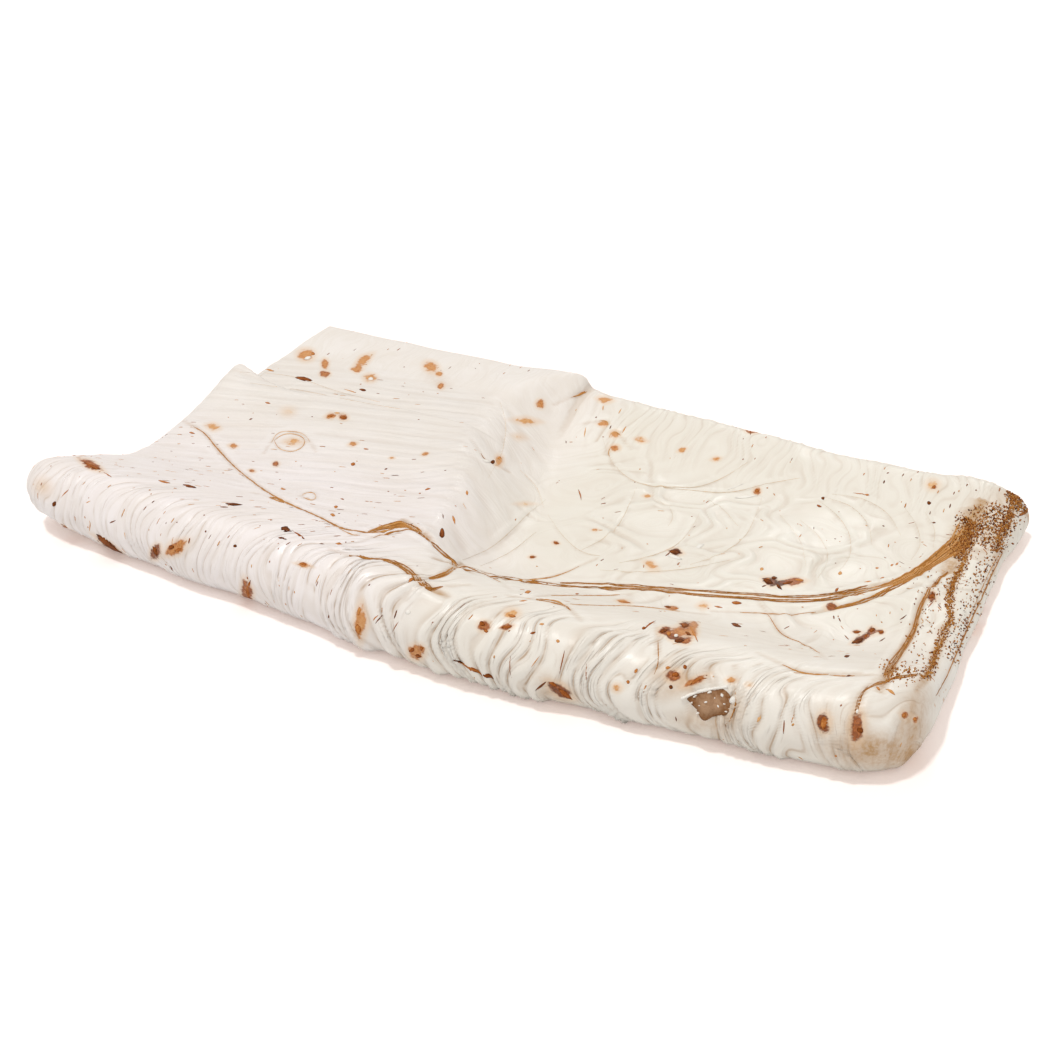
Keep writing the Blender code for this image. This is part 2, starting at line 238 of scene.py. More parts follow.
# Relief of marks: distances in metres, from the middle of a crease or a fold
CREASE_HALF = 0.0012
LIP_PLACE = 0.0027
LIP_HALF = 0.0014
LIP_SHARE = 0.45

# About how wide a pixel is on the bread, and the distance of places that a mark doesn't
# reach, in its radii
PIXEL = 0.0006
FAR = 9.0

# How far from a mark's middle its skin is worked out, in its sizes and beyond them, and how far
# from a crease, a dust band or the gap, and a soft fold
NEAR_SIZES = 2.2
NEAR_MARGIN = 0.002
CREASE_REACH = 0.012
BAND_REACH = 0.016
SOFT_REACH = 0.010

# Scattered marks that follow no single place, in metres, and how far marks stand up
LEAF_POWER = 1.35
DASH_BASE = 0.25
DASH_LEFT = 0.75
DASH_RIGHT = 0.9
DASH_LEFT_END = (-0.06, 0.0)
DASH_BACK_END = (0.075, 0.11)
DASH_RIGHT_START = (0.13, 0.19)
DASH_ROLL_END = (0.02, 0.05)
DASH_COUNT = 420
DASH_LONG = (0.0007, 0.0022)
DASH_WIDE = (0.00018, 0.00036)
DOT_COUNT = 260
DOT_LONG = (0.0003, 0.0006)
DARK_SHARE = 0.35
DARK_TONES = (0.64, 0.84)
LIGHT_TONES = (0.22, 0.6)
WHITE_RISE = 0.0004
FLECK_RISE = 0.00016
DASH_RISE = 0.0001
GRAIN_RISE = 0.00028
LIP_RISE = 0.0007
FAR_TOASTS = 34
FAR_TOAST_SIZE = (0.0014, 0.0046)
FLECK_SECTORS = 12
FLECK_RINGS = 3
GRAIN_SECTORS = 6
TORN_SECTORS = 48
TORN_RINGS = 10
SEED = 12

# What the operators of one run share
SHARED = {}

# Grid of the skin: rows and columns over each rolled edge and between the edges, closer rows
# at the step, then rings under the seam, and where the relief fades under them
FRONT_STEPS = 22
BACK_STEPS = 14
LEFT_STEPS = 16
RIGHT_STEPS = 10
COLUMNS = 318
ROWS = 180
STEP_ROW = 0.637
STEP_ROW_WIDTH = 0.03
STEP_ROW_CROWDING = 0.8
SKIRT_RINGS = 13
SKIRT_REACH = 0.0149
FLAT_INSETS = (0.022, 0.042)
UNDER_FADE = (0.005, 0.011)

# Where the toast colours between pale and char lie on the scale of tones
TOAST_STOPS = ((0.12, "tan"), (0.28, "amber"), (0.52, "orange"), (0.68, "brown"), (0.84, "dark"))

# Line sets of the folds: lines for each fold, where their noise starts to show, and what they
# give with the share of the line width: painted shade in the valleys, grooves in the bump, and
# fine lines that give both. Then each flow's line width, and length in metres
LINE_SETS = ((1.0, 0.4, {"Valley Shade": 1.0, "Groove": 2.8}), (3.3, 0.46, {"Fine": 2.2}))
LINE_WIDTHS = {"front_flow": (0.09, 0.009), "back_flow": (0.15, 0.014), "ridge_flow": (0.13, 0.014),
               "basin_flow": (0.15, 0.012)}

# The floor, how it glows where the camera sees it, the sky, and the turn, elevation and
# softness of two lights in degrees
FLOOR_COLOUR = (0.86, 0.86, 0.86, 1.0)
GLOW_COLOUR = (1.0, 0.74, 0.65, 1.0)
FLOOR_GLOW = 0.31
SKY_COLOUR = (1.0, 0.96, 0.93, 1.0)
BACK_LIGHT = (-14.0, 33.0, 8.0)
FILL_LIGHT = (190.0, 24.0, 60.0)

# The picture that the places of marks are given in
PICTURE = 1056
SENSOR = 36.0
LENS = 50.0

# A mark has its middle, length and width in pixels, its turn clockwise in degrees and its
# tone from 0, pale tan, through orange and brown to 1, nearly black. A tone below 0 is white.
# The tables of toasts, flecks and stains give it in percent.
Mark = namedtuple("Mark", "x y long wide turn tone")
Line = namedtuple("Line", "tone wide path")
Band = namedtuple("Band", "count half low high path")

# Toasted places that colour the skin and raise it in a blister
TOASTS = [Mark(*place, tone / 100) for *place, tone in (
    (91, 465, 25, 8, 26, 62), (156, 552, 10, 14, 20, 68), (176, 548, 24, 13, -32, 48),
    (247, 592, 24, 11, 78, 62), (304, 565, 16, 5, 12, 45), (213, 427, 14, 8, 10, 28),
    (293, 442, 20, 8, 0, 22), (306, 355, 15, 11, 0, 40), (325, 364, 7, 9, 0, 45),
    (325, 374, 9, 6, 0, 55), (363, 361, 20, 9, -35, 38), (357, 369, 11, 7, 0, 42),
    (370, 378, 12, 8, 0, 34), (431, 367, 14, 10, 20, 38), (439, 374, 6, 5, 0, 42),
    (441, 386, 6, 6, 0, 48), (331, 416, 11, 6, -8, 45), (343, 417, 9, 6, 12, 55),
    (353, 444, 9, 5, -10, 42), (233, 446, 9, 5, 5, 45), (252, 471, 7, 4, 10, 52),
    (276, 464, 6, 5, 0, 60), (540, 404, 8, 8, 0, 45), (526, 421, 26, 8, 4, 25),
    (519, 437, 16, 8, 10, 2), (499, 461, 8, 11, 0, 30), (605, 400, 15, 7, 4, 32),
    (603, 424, 10, 6, 0, 38), (615, 434, 9, 7, 0, 36), (615, 448, 9, 6, 0, 44),
    (641, 440, 12, 6, 12, 32), (682, 450, 9, 5, -20, 34), (716, 459, 10, 5, -8, 32),
    (525, 504, 20, 5, 0, 6), (647, 496, 9, 4, 0, 30), (757, 491, 7, 7, 0, 50),
    (651, 566, 16, 9, 30, 28), (676, 552, 13, 7, 10, 76), (933, 485, 13, 11, 0, 14),
    (934, 487, 5, 5, 0, 60), (771, 582, 16, 9, 18, 80), (793, 582, 22, 8, -4, 62),
    (859, 640, 15, 7, -22, 75), (857, 632, 9, 4, 0, 66), (872, 631, 8, 8, 0, 68),
    (881, 632, 6, 5, 0, 66), (932, 597, 8, 10, 0, 66), (832, 607, 13, 7, 0, 68),
    (361, 622, 34, 13, 92, 40), (417, 652, 15, 14, 0, 46), (484, 626, 11, 10, 0, 60),
    (507, 627, 13, 6, -8, 60), (512, 614, 15, 11, 0, 24), (560, 690, 27, 12, 32, 72),
    (665, 631, 12, 8, 0, 66), (685, 626, 11, 8, 10, 66), (679, 640, 13, 7, 0, 74),
    (691, 632, 12, 14, 20, 42), (674, 676, 15, 12, 0, 64), (695, 681, 26, 7, -26, 52),
    (617, 688, 10, 9, 0, 28), (731, 680, 11, 7, 0, 36), (749, 685, 8, 6, 0, 22),
    (824, 723, 12, 19, 0, 70), (857, 727, 13, 30, 4, 66), (671, 637, 12, 7, 35, 72),
    (687, 641, 11, 7, -30, 62), (694, 625, 8, 8, 0, 50), (681, 632, 20, 12, 0, 50),
    (866, 636, 12, 5, -30, 72), (782, 583, 14, 6, -8, 80), (904, 715, 7, 7, 0, 52),
    (915, 719, 6, 6, 0, 52),
    (703, 606, 13, 8, 0, 18), (624, 602, 14, 5, 8, 36), (672, 608, 11, 4, 0, 54),
    (288, 412, 15, 10, 0, 0), (556, 543, 7, 4, 10, 56), (532, 557, 7, 4, 0, 58),
    (595, 530, 7, 3, 0, 40), (425, 454, 7, 4, -12, 42), (392, 458, 6, 3, 0, 34),
    (109, 545, 33, 6, 33, 74), (43, 487, 18, 16, 60, 0), (751, 430, 12, 5, 12, 58),
)]

# Crisp dark flecks, and white ones, that lie in or beside the toasted places
FLECKS = [Mark(*place, tone / 100) for *place, tone in (
    (92, 466, 20, 4, 27, 74), (74, 455, 19, 1.8, -3, 70), (108, 475, 10, 1, 32, 62),
    (54, 504, 7, 3.6, -60, 86), (65, 493, 11, 1, -48, 60), (88, 502, 5, 1, -24, 35),
    (112, 522, 7, 1.4, -24, 82), (90, 526, 13, 1, 88, 40), (109, 545, 33, 4.6, 33, 82),
    (155, 551, 11, 3.6, 62, 80), (171, 547, 6, 5, 0, 78), (178, 550, 8, 4, -20, 66),
    (184, 543, 8, 1.2, -32, 50), (248, 592, 18, 4.4, 80, 68), (235, 546, 4, 3.2, 0, 95),
    (164, 482, 14, 2.2, 12, 60), (189, 486, 13, 3, 12, 82), (192, 433, 6, 1.4, 14, 60),
    (233, 504, 18, 2.8, 4, 95), (224, 507, 9, 1.3, 4, 80), (286, 529, 13, 7, 22, 97),
    (299, 535, 15, 1.7, 30, 72), (282, 538, 8, 2.2, 14, 92), (270, 520, 5, 1.6, 10, 66),
    (303, 564, 7, 3.4, 15, 66), (267, 608, 6, 1.2, 50, 50), (304, 379, 18, 3.6, 11, 80),
    (270, 370, 10, 1.8, 12, 50), (363, 390, 8, 2.4, 12, 84), (350, 391, 14, 1.2, 18, 42),
    (313, 354, 4, 3, 0, 60), (308, 358, 7, 4, -20, -100), (371, 379, 6, 3.6, 0, -100),
    (331, 416, 6, 2.4, -8, 66), (344, 418, 7, 3.6, 14, 74), (337, 413, 6, 2.4, 0, 30),
    (268, 403, 6, 1.8, 14, 60), (251, 419, 4, 1.4, -20, 80), (366, 449, 5, 1.5, 6, 62),
    (353, 464, 4, 3.4, 0, 64), (386, 469, 4, 1.5, -24, 84), (428, 489, 6, 2, -16, 62),
    (342, 499, 4, 1.3, 14, 70), (336, 507, 4, 2.8, 0, 58), (333, 515, 5, 3, 24, 56),
    (283, 489, 5, 2.2, 4, 52), (442, 533, 9, 5.4, 88, 80), (454, 520, 9, 2.4, 74, 52),
    (443, 516, 5, 1.2, 82, 84), (467, 493, 6, 2.8, 86, 50), (493, 462, 4, 3.6, 0, 97),
    (487, 461, 9, 4, 24, -100), (499, 458, 3, 3, 0, 50), (566, 442, 3, 1.2, 80, 88),
    (583, 391, 10, 1.6, -28, 56), (603, 408, 5, 1.4, 96, 34), (624, 430, 8, 1.4, -60, 40),
    (620, 411, 6, 1.2, -60, 26), (585, 432, 11, 1.2, -80, 28), (751, 430, 9, 3, 12, 74),
    (757, 491, 4, 4, 0, 66), (746, 497, 24, 2.6, -6, -100), (734, 488, 20, 1.4, -22, -100),
    (580, 494, 11, 1.6, 72, 66), (556, 543, 6, 2.6, 14, 72), (532, 557, 5, 2.6, 8, 72),
    (675, 552, 12, 5.6, 10, 90), (674, 557, 15, 3.6, 16, -100), (668, 554, 7, 1.2, -38, 80),
    (699, 547, 10, 2.6, -8, -100), (823, 498, 4, 3.2, 0, 86), (819, 506, 6, 2.2, 26, 72),
    (860, 494, 14, 1.3, 8, 60), (867, 495, 5, 2.8, 10, 56), (934, 487, 4, 4, 0, 68),
    (938, 492, 4, 1.1, -60, 50), (929, 503, 4, 3.2, 0, 86), (884, 482, 4, 1.4, -64, 92),
    (864, 474, 3, 1.3, -54, 60), (888, 473, 3, 1.2, -20, 80), (903, 475, 4, 1.2, -54, 84),
    (950, 506, 5, 1.4, -76, 88), (930, 513, 4, 1.3, -80, 84), (934, 523, 4, 1.5, 6, 88),
    (954, 493, 4, 1.2, -62, 80), (967, 485, 3, 1.2, -50, 80), (768, 581, 12, 5.6, 24, 100),
    (779, 587, 9, 3.4, 42, 95), (774, 578, 7, 3.6, 0, 92), (788, 583, 12, 2.8, -14, 80),
    (799, 580, 9, 3, 4, 56), (764, 586, 6, 1.3, -20, 84), (768, 579, 4, 1.6, 14, 55),
    (858, 641, 13, 5, -24, 90), (857, 632, 8, 2.6, 0, 74), (872, 630, 6, 4, -30, 78),
    (881, 632, 5, 3, -10, 74), (866, 636, 6, 2.6, -50, 74), (882, 640, 8, 1.2, -32, 90),
    (903, 618, 9, 1.3, -32, 92), (847, 656, 6, 2.8, -14, 86), (849, 675, 7, 2.8, -6, 92),
    (840, 573, 4, 3.6, 0, 36), (837, 590, 5, 2.2, -30, 70), (868, 582, 8, 2, -6, 44),
    (882, 578, 5, 1.8, -20, 54), (877, 568, 4, 1.9, 0, 50), (892, 565, 4, 1.9, -30, 50),
    (897, 564, 4, 1.9, -30, 54), (762, 569, 4, 3.2, 0, 32), (932, 597, 7, 6, 0, 76),
    (930, 606, 8, 1.2, -50, 70), (339, 544, 8, 2.6, 8, 60), (322, 544, 5, 1.7, 10, 90),
    (411, 581, 8, 2.6, -46, 60), (359, 611, 10, 3.4, 104, 52), (358, 630, 11, 5.4, 84, 60),
    (375, 618, 9, 1.3, -45, 56), (379, 619, 14, 1.3, -50, 86), (395, 627, 12, 1.1, -60, 70),
    (412, 650, 6, 4, -20, 74), (418, 656, 7, 4, 10, 78), (421, 648, 4, 5, 0, 66),
    (408, 612, 5, 5, 0, -100), (329, 616, 4, 1.3, 96, 84), (482, 624, 6, 5, 0, 76),
    (486, 631, 5, 3, 30, 66), (507, 627, 10, 3.2, -6, 72), (512, 616, 7, 3.2, 14, 62),
    (542, 624, 5, 2.6, 0, 40), (533, 633, 7, 2.4, -14, 76), (558, 641, 4, 3, 60, 46),
    (528, 592, 6, 3.4, -10, 54), (523, 601, 9, 1.3, -4, 50), (577, 594, 5, 1.6, 0, 66),
    (471, 669, 42, 3.2, 25, 64), (488, 676, 13, 3.4, 27, 82), (541, 686, 17, 1.8, -30, 84),
    (562, 662, 26, 1.3, 104, 74), (565, 694, 18, 5, 38, 72), (553, 684, 8, 4, 20, 70),
    (510, 667, 22, 0.9, 92, 70), (535, 662, 16, 0.9, -54, 50), (586, 672, 20, 0.9, 86, 66),
    (664, 631, 9, 4, -6, 84), (669, 634, 5, 4, 0, 60), (685, 625, 9, 5, 12, 78),
    (679, 641, 10, 5, 0, 92), (688, 634, 7, 4, 30, 80), (693, 632, 16, 2.2, 62, 52),
    (676, 636, 4, 3, 0, -50), (736, 625, 10, 4, 18, 84), (650, 624, 15, 1.6, -35, 70),
    (644, 628, 4, 3, 0, 74), (624, 602, 12, 2, 8, 58), (668, 607, 7, 2.2, 10, 80),
    (676, 609, 6, 1.6, -10, 62), (718, 607, 9, 1.8, 10, 62), (736, 603, 10, 2.6, 4, 66),
    (675, 674, 8, 6, 0, 72), (671, 687, 4, 4, 0, 90), (685, 667, 4, 3.4, 0, 74),
    (697, 680, 20, 3.2, -28, 66), (668, 668, 5, 3, 0, 56), (628, 682, 4, 3.4, 0, 62),
    (636, 671, 6, 2.8, -64, 58), (676, 719, 5, 1.4, 80, 96), (784, 727, 17, 1.5, 94, 76),
    (824, 723, 7, 12, 0, 64), (860, 730, 7, 6, 0, 80), (857, 711, 3, 5, 0, -100), (904, 715, 5, 5, 0, 60),
    (915, 719, 4, 4.4, 0, 60), (891, 692, 12, 3, 34, 40), (836, 756, 3, 2.6, 0, 56),
    (759, 719, 9, 3.4, -62, 26), (1012, 498, 5, 4, 0, 84), (1024, 513, 11, 3, -34, 80),
    (878, 688, 5, 3, 40, 52),
)]

# Browned creases: tone, width in pixels at even steps along it, and its path
CREASES = [Line(*values) for values in (
    (0.62, (1.0, 1.8, 1.3, 1.9, 1.3, 1.8, 1.5), ((193, 426), (206, 434), (212, 442), (222, 453), (233, 465),
     (253, 481), (273, 495), (296, 506), (325, 519), (343, 528), (369, 532))),
    (0.46, (1.0, 5.5, 7.0, 6.0, 3.5), ((366, 532), (384, 528), (400, 525), (412, 527), (421, 532))),
    (0.6, (3.0, 2.4, 2.2, 3.0), ((415, 528), (429, 540), (441, 552), (457, 566))),
    (0.66, (0.8, 1.3, 1.3, 0.8), ((373, 537), (388, 533), (404, 530), (418, 531))),
    (0.5, (0.6, 1.0, 0.6), ((339, 528), (347, 533), (360, 535))),
    (0.44, (0.6, 4.2, 1.0), ((270, 497), (276, 499), (284, 502))),
    (0.58, (0.8, 1.4, 2.2, 4.4, 5.0, 3.6), ((349, 555), (378, 559), (392, 561), (402, 566), (413, 575),
     (423, 584), (432, 589))),
    (0.62, (2.4, 1.4, 0.6), ((425, 587), (434, 588), (443, 587))),
    (0.56, (1.6, 3.6, 2.6), ((429, 578), (443, 575), (458, 566))),
    (0.6, (3.0, 2.2, 2.6, 2.2, 2.4), ((456, 566), (476, 571), (494, 577), (515, 580), (535, 583),
     (566, 586), (600, 588))),
    (0.48, (1.2, 1.6, 1.2, 0.6), ((514, 580), (533, 579), (549, 577), (566, 572), (579, 566))),
    (0.54, (1.6, 1.2, 0.6), ((488, 575), (495, 579), (501, 582))),
    (0.52, (1.0, 1.0, 0.7), ((551, 595), (580, 595), (620, 595))),
    (0.54, (1.0, 2.0, 2.2, 1.0), ((536, 599), (555, 602), (566, 605), (571, 610))),
    (0.5, (0.8, 1.1, 0.7), ((570, 604), (600, 605), (640, 606), (680, 611))),
    (0.62, (2.0, 1.6, 2.0, 2.2, 2.6), ((598, 588), (640, 589), (693, 594), (750, 598), (797, 601),
     (835, 598), (868, 592))),
    (0.56, (1.2, 1.8, 1.6, 2.0, 2.4), ((560, 583), (620, 585), (690, 590), (750, 594), (797, 597),
     (840, 593), (868, 587))),
    (0.6, (2.0, 2.6, 3.0, 3.6, 2.6), ((835, 608), (855, 603), (874, 597), (893, 588), (912, 578))),
    (0.54, (1.4, 3.0, 3.4, 4.0, 5.0, 6.0), ((948, 571), (935, 583), (924, 598), (918, 613), (914, 629),
     (904, 646), (893, 663), (886, 677))),
    (0.66, (0.8, 1.4, 1.4, 0.8), ((947, 573), (932, 585), (921, 600), (915, 617))),
    (0.6, (0.7, 1.3, 1.1, 0.8), ((767, 613), (774, 623), (779, 631), (795, 640), (811, 647), (820, 653))),
    (0.56, (0.8, 0.9, 0.6), ((740, 612), (767, 613), (797, 614), (816, 611))),
    (0.52, (0.8, 1.9, 1.8, 1.0), ((782, 664), (797, 670), (817, 673), (829, 673))),
    (0.58, (1.0, 1.8, 1.2), ((830, 674), (842, 675), (855, 675))),
    (0.66, (1.4, 1.8, 2.8, 1.6), ((868, 686), (862, 692), (858, 704), (855, 714))),
    (0.48, (1.2, 2.2, 2.2, 1.4), ((864, 690), (879, 682), (904, 676), (918, 674))),
    (0.64, (1.0, 1.3, 1.3, 1.0), ((658, 640), (658, 652), (658, 664), (654, 674))),
    (0.7, (1.0, 1.8, 1.4, 0.8), ((735, 691), (736, 702), (733, 715), (726, 728))),
    (0.72, (1.0, 1.5, 1.4, 1.5, 1.2, 1.0), ((1003, 553), (993, 573), (985, 592), (974, 615), (966, 634),
     (956, 656), (946, 679), (936, 696))),
    (0.5, (0.7, 1.0, 0.9, 0.7), ((998, 556), (988, 575), (979, 596), (967, 622))),
    (0.36, (0.8, 1.1, 0.9, 1.1, 0.8), ((274, 440), (283, 434), (297, 434), (306, 440), (300, 449),
     (287, 451), (277, 447), (274, 440))),
    (0.34, (0.6, 0.8, 0.6), ((271, 442), (277, 433), (291, 431), (306, 435), (310, 442))),
    (0.34, (0.7, 1.2, 0.7, 1.2, 0.7), ((302, 495), (308, 491), (316, 493), (317, 499), (309, 500),
     (303, 497))),
    (0.42, (0.8, 1.4, 1.0), ((599, 421), (604, 420), (609, 423), (606, 427))),
    (0.4, (0.8, 1.4, 0.8), ((609, 438), (611, 432), (617, 431), (621, 436))),
    (0.42, (0.8, 1.3, 0.7), ((611, 447), (608, 452), (610, 457))),
    (0.5, (0.6, 1.5, 1.2), ((571, 397), (580, 393), (589, 389))),
    (0.84, (0.8, 1.1, 1.0), ((481, 453), (485, 459), (491, 462))),
)]

# The wide streaky band at the right, with strands side by side along one path, the tones of
# the pale strands, painted shade along the soft folds, and of the darkest marks, and the
# strands' share of a crease and step
STREAK = Line(0.52, (4.0, 4.5, 6.0, 8.0, 11.0, 15.0, 19.0, 24.0), (
    (862, 591), (880, 587), (903, 579), (920, 570), (931, 563), (945, 553), (956, 545), (963, 534),
    (970, 523)))
FOLD_SHADE_TONE = 0.03
DARKEST_STRAND = 0.76
DARKEST_FLECK = 0.88
STREAK_STRANDS = 26
STRAND_SHARE = 0.85
STRAND_STEP = 1.6

# Uncoloured folds of the basin and the flap, as a lip beside a groove: height share and path.
# A thin pale strand along each paints shade in its groove
SOFT_FOLDS = (
    (1.0, ((602, 436), (612, 462), (634, 481), (668, 487), (700, 486), (724, 477), (748, 462))),
    (0.9, ((640, 484), (690, 490), (730, 492), (770, 483), (800, 478))),
    (0.9, ((581, 551), (615, 529), (630, 503), (637, 487))),
    (0.7, ((548, 515), (566, 539), (582, 552), (600, 556))),
    (0.9, ((619, 563), (650, 556), (676, 545), (692, 527), (700, 512))),
    (0.6, ((660, 502), (671, 508), (673, 519), (668, 526))),
    (0.6, ((708, 500), (722, 508), (738, 526))),
    (0.8, ((690, 565), (724, 552), (745, 536), (757, 512), (762, 497))),
    (0.7, ((600, 570), (640, 572), (690, 568), (730, 560))),
    (0.9, ((818, 500), (838, 516), (850, 536), (850, 556), (840, 570))),
    (0.8, ((824, 497), (852, 507), (868, 524), (872, 545))),
    (0.7, ((832, 494), (866, 500), (890, 516), (901, 536))),
    (0.7, ((905, 508), (917, 526), (920, 546), (911, 560))),
    (0.6, ((925, 512), (935, 530), (933, 548))),
    (0.6, ((800, 520), (822, 540), (828, 560), (818, 578))),
    (0.5, ((780, 515), (800, 540), (806, 566))),
    (0.8, ((462, 560), (490, 548), (512, 530), (530, 512), (546, 500))),
    (0.6, ((480, 566), (510, 552), (536, 532))),
    (0.7, ((500, 402), (506, 425), (502, 452), (488, 478))),
    (0.6, ((520, 470), (536, 486), (544, 508))),
    (0.5, ((240, 372), (290, 376), (340, 392), (380, 402))),
    (0.5, ((250, 383), (300, 390), (350, 400), (400, 409))),
)

# The gap beside the hump: pixels along it, half width and depth in metres
GAP = ((590, 388), (580, 398), (571, 413), (563, 430), (557, 446))
GAP_HALF = 0.003
GAP_DEPTH = 0.0022

# Ground spice dust on the right edge: count, half width in pixels, tones and path
DUST = [Band(*values) for values in (
    (1000, 11, 0.48, 0.92, ((974, 520), (968, 532), (962, 545), (955, 558))),
    (1000, 4.6, 0.36, 0.88, ((967, 554), (960, 571), (952, 585), (950, 602), (950, 619), (943, 631),
     (941, 642), (935, 655), (931, 669), (925, 679))),
    (520, 7, 0.44, 0.95, ((1014, 496), (1012, 510), (1006, 525), (999, 538), (997, 552))),
    (240, 5, 0.46, 0.96, ((1008, 490), (1018, 502), (1026, 513))),
    (560, 20, 0.48, 0.96, ((1002, 508), (992, 528), (980, 545))),
    (330, 13, 0.5, 0.98, ((990, 555), (981, 580), (970, 606), (960, 632), (948, 660))),
    (190, 9, 0.45, 0.85, ((893, 663), (888, 672), (896, 677), (910, 672), (926, 674))),
    (110, 10, 0.55, 0.96, ((1004, 503), (990, 511), (974, 517), (956, 522))),
    (120, 18, 0.5, 0.9, ((942, 575), (930, 600), (928, 630), (915, 655))),
)]

# How many of the dust bands also colour the skin, and the grains per pixel of a full one
DENSE_BANDS = 5
DUST_FULL = 1.6

# Soft brown stains with no edge: the tone is their strength
STAINS = [Mark(*place, tone / 100) for *place, tone in (
    (886, 752, 100, 34, 6, 100), (870, 760, 60, 16, 8, 80), (912, 725, 28, 70, 14, 80),
    (880, 738, 40, 14, 8, 50), (856, 728, 26, 44, 4, 60), (700, 722, 60, 20, 4, 40),
    (733, 712, 22, 44, 20, 55), (684, 684, 60, 20, -20, 42),
    (556, 690, 46, 22, 30, 55), (824, 724, 26, 38, 0, 40), (1000, 528, 60, 34, -50, 14),
    (1018, 508, 26, 20, -40, 32), (437, 380, 26, 14, 30, 25), (672, 676, 40, 30, 0, 35),
)]

# A torn brown patch on the front roll: its rim, the white lip above it, how far the patch and
# the chips on it stand up, and the chips
TORN_RIM = ((682, 701), (691, 696), (702, 692), (712, 689), (722, 688), (730, 692), (734, 700), (732, 709),
            (727, 715), (719, 716), (711, 719), (704, 722), (698, 719), (692, 712), (686, 706))
TORN_LIP = ((681, 699), (694, 693), (705, 690), (716, 688), (728, 687))
TORN_RISE = 0.0008
CHIP_RISE = 0.0007
TORN_CHIPS = [Mark(*values) for values in (
    (708, 692, 5, 3, -20, -1), (705, 702, 3.4, 3, 0, -1), (722, 695, 5.4, 3, 70, -1),
    (732, 700, 7.5, 7, 0, -1), (718, 706, 6, 3.4, 60, -1), (698, 714, 3, 2.4, 0, -1),
    (700, 706, 2, 1.6, 0, -1), (726, 712, 2.4, 1.8, 0, -1), (691, 703, 2.6, 2, 0, -1),
    (714, 698, 2, 2.6, 0, -1), (724, 704, 3, 2, 20, -1), (695, 696, 6, 3, -30, -1),
)]


def ramp(start, end, t):
    """An S-shaped rise from 0 at start to 1 at end."""
    share = np.clip((t - start) / (end - start), 0.0, 1.0)
    return share * share * (3.0 - 2.0 * share)


def bell(t):
    """A bell of height 1 at t = 0."""
    return np.exp(-t * t)


def through(t, knots, values):
    """A smooth cubic through the values at the knots, level beyond the ends."""
    knots, values = np.asarray(knots), np.asarray(values)
    slopes = np.gradient(values, knots)
    i = np.clip(np.searchsorted(knots, t) - 1, 0, len(knots) - 2)
    width = knots[i + 1] - knots[i]
    f = np.clip((t - knots[i]) / width, 0.0, 1.0)
    start = (1 + 2 * f) * (1 - f) ** 2 * values[i] + f * (1 - f) ** 2 * width * slopes[i]
    end = f * f * (3 - 2 * f) * values[i + 1] + f * f * (f - 1) * width * slopes[i + 1]
    return start + end


def swell(x, y, centre_x, centre_y, radius, rise):
    """A low round swell of a height rise, or a dip where rise is below 0."""
    return rise * bell(np.hypot(x - centre_x, y - centre_y) / radius)


def hashed(i, j, seed):
    """A fixed number from 0 to 1 for a lattice point: the fraction of a large sine."""
    wave = np.sin(i * 127.1 + j * 311.7 + seed * 74.7) * 43758.5453
    return wave - np.floor(wave)


def noise(a, b, seed):
    """Smooth noise from about -1 to 1, with one swell for each unit of a and of b.

    Each lattice point has a slope in a hashed direction, and the four slopes round a
    place are mixed by a quintic S curve.
    """
    i, j = np.floor(a), np.floor(b)
    fa, fb = a - i, b - j
    wa = fa ** 3 * (fa * (fa * 6 - 15) + 10)
    wb = fb ** 3 * (fb * (fb * 6 - 15) + 10)

    def slope(di, dj):
        turn = 2 * np.pi * hashed(i + di, j + dj, seed)
        return np.cos(turn) * (fa - di) + np.sin(turn) * (fb - dj)

    near = slope(0, 0) * (1 - wa) + slope(1, 0) * wa
    far = slope(0, 1) * (1 - wa) + slope(1, 1) * wa
    return 1.5 * (near * (1 - wb) + far * wb)


def wavy(t, shift):
    """Two slow waves along an edge, one riding on the other."""
    long_wave, short_wave = (np.sin(2 * np.pi * t / length + shift) for length in EDGE_WAVE_LENGTHS)
    return EDGE_WAVE * (0.6 * long_wave + 0.4 * short_wave)


def front_edge(x):
    """The bowed front edge."""
    return through(x, FRONT_EDGE_X, FRONT_EDGE_Y) + wavy(x, FRONT_WAVE_SHIFT)


def back_edge(x):
    """The nearly straight back edge."""
    return BACK_Y + BACK_SLANT * x + wavy(x, BACK_WAVE_SHIFT)


def left_edge(y):
    """The left edge, which bulges out at the nose."""
    return through(y, LEFT_EDGE_Y, LEFT_EDGE_X) + SIDE_WAVE_SHARE * wavy(y, LEFT_WAVE_SHIFT)


def right_edge(y):
    """The right edge, full at the front corner and drawn out to a tip at the back."""
    return through(y, RIGHT_EDGE_Y, RIGHT_EDGE_X) + SIDE_WAVE_SHARE * wavy(y, RIGHT_WAVE_SHIFT)


def corner_radius(x, y):
    """The plan radius of the corner nearest to a place."""
    front = np.where(x < 0, CORNER_FRONT_LEFT, CORNER_FRONT_RIGHT)
    back = np.where(x < 0, CORNER_BACK_LEFT, CORNER_BACK_RIGHT)
    return np.where(y < 0, front, back)


def corner_inset(x, y, y_front, y_back):
    """How far a quarter circle lies inside its corner at a distance from the edge."""
    radius = corner_radius(x, y)
    off = np.clip(radius - np.minimum(y - y_front, y_back - y), 0.0, radius)
    return radius - np.sqrt(radius * radius - off * off)


def plan(u, v):
    """The plan place of grid parameters u (along) and v (front to back).

    v runs between the front and back edges. u runs between the left and right edges,
    which draw in along a quarter circle where a row passes a corner.
    """
    x = LEFT_X + (RIGHT_X - LEFT_X) * u
    y = front_edge(x) + (back_edge(x) - front_edge(x)) * v
    for _ in range(PLAN_ROUNDS):
        left, right = left_edge(y), right_edge(y)
        x_left = left + corner_inset(left, y, front_edge(x), back_edge(x))
        x_right = right - corner_inset(right, y, front_edge(x), back_edge(x))
        x = x_left + (x_right - x_left) * u
        y = front_edge(x) + (back_edge(x) - front_edge(x)) * v
    return x, y


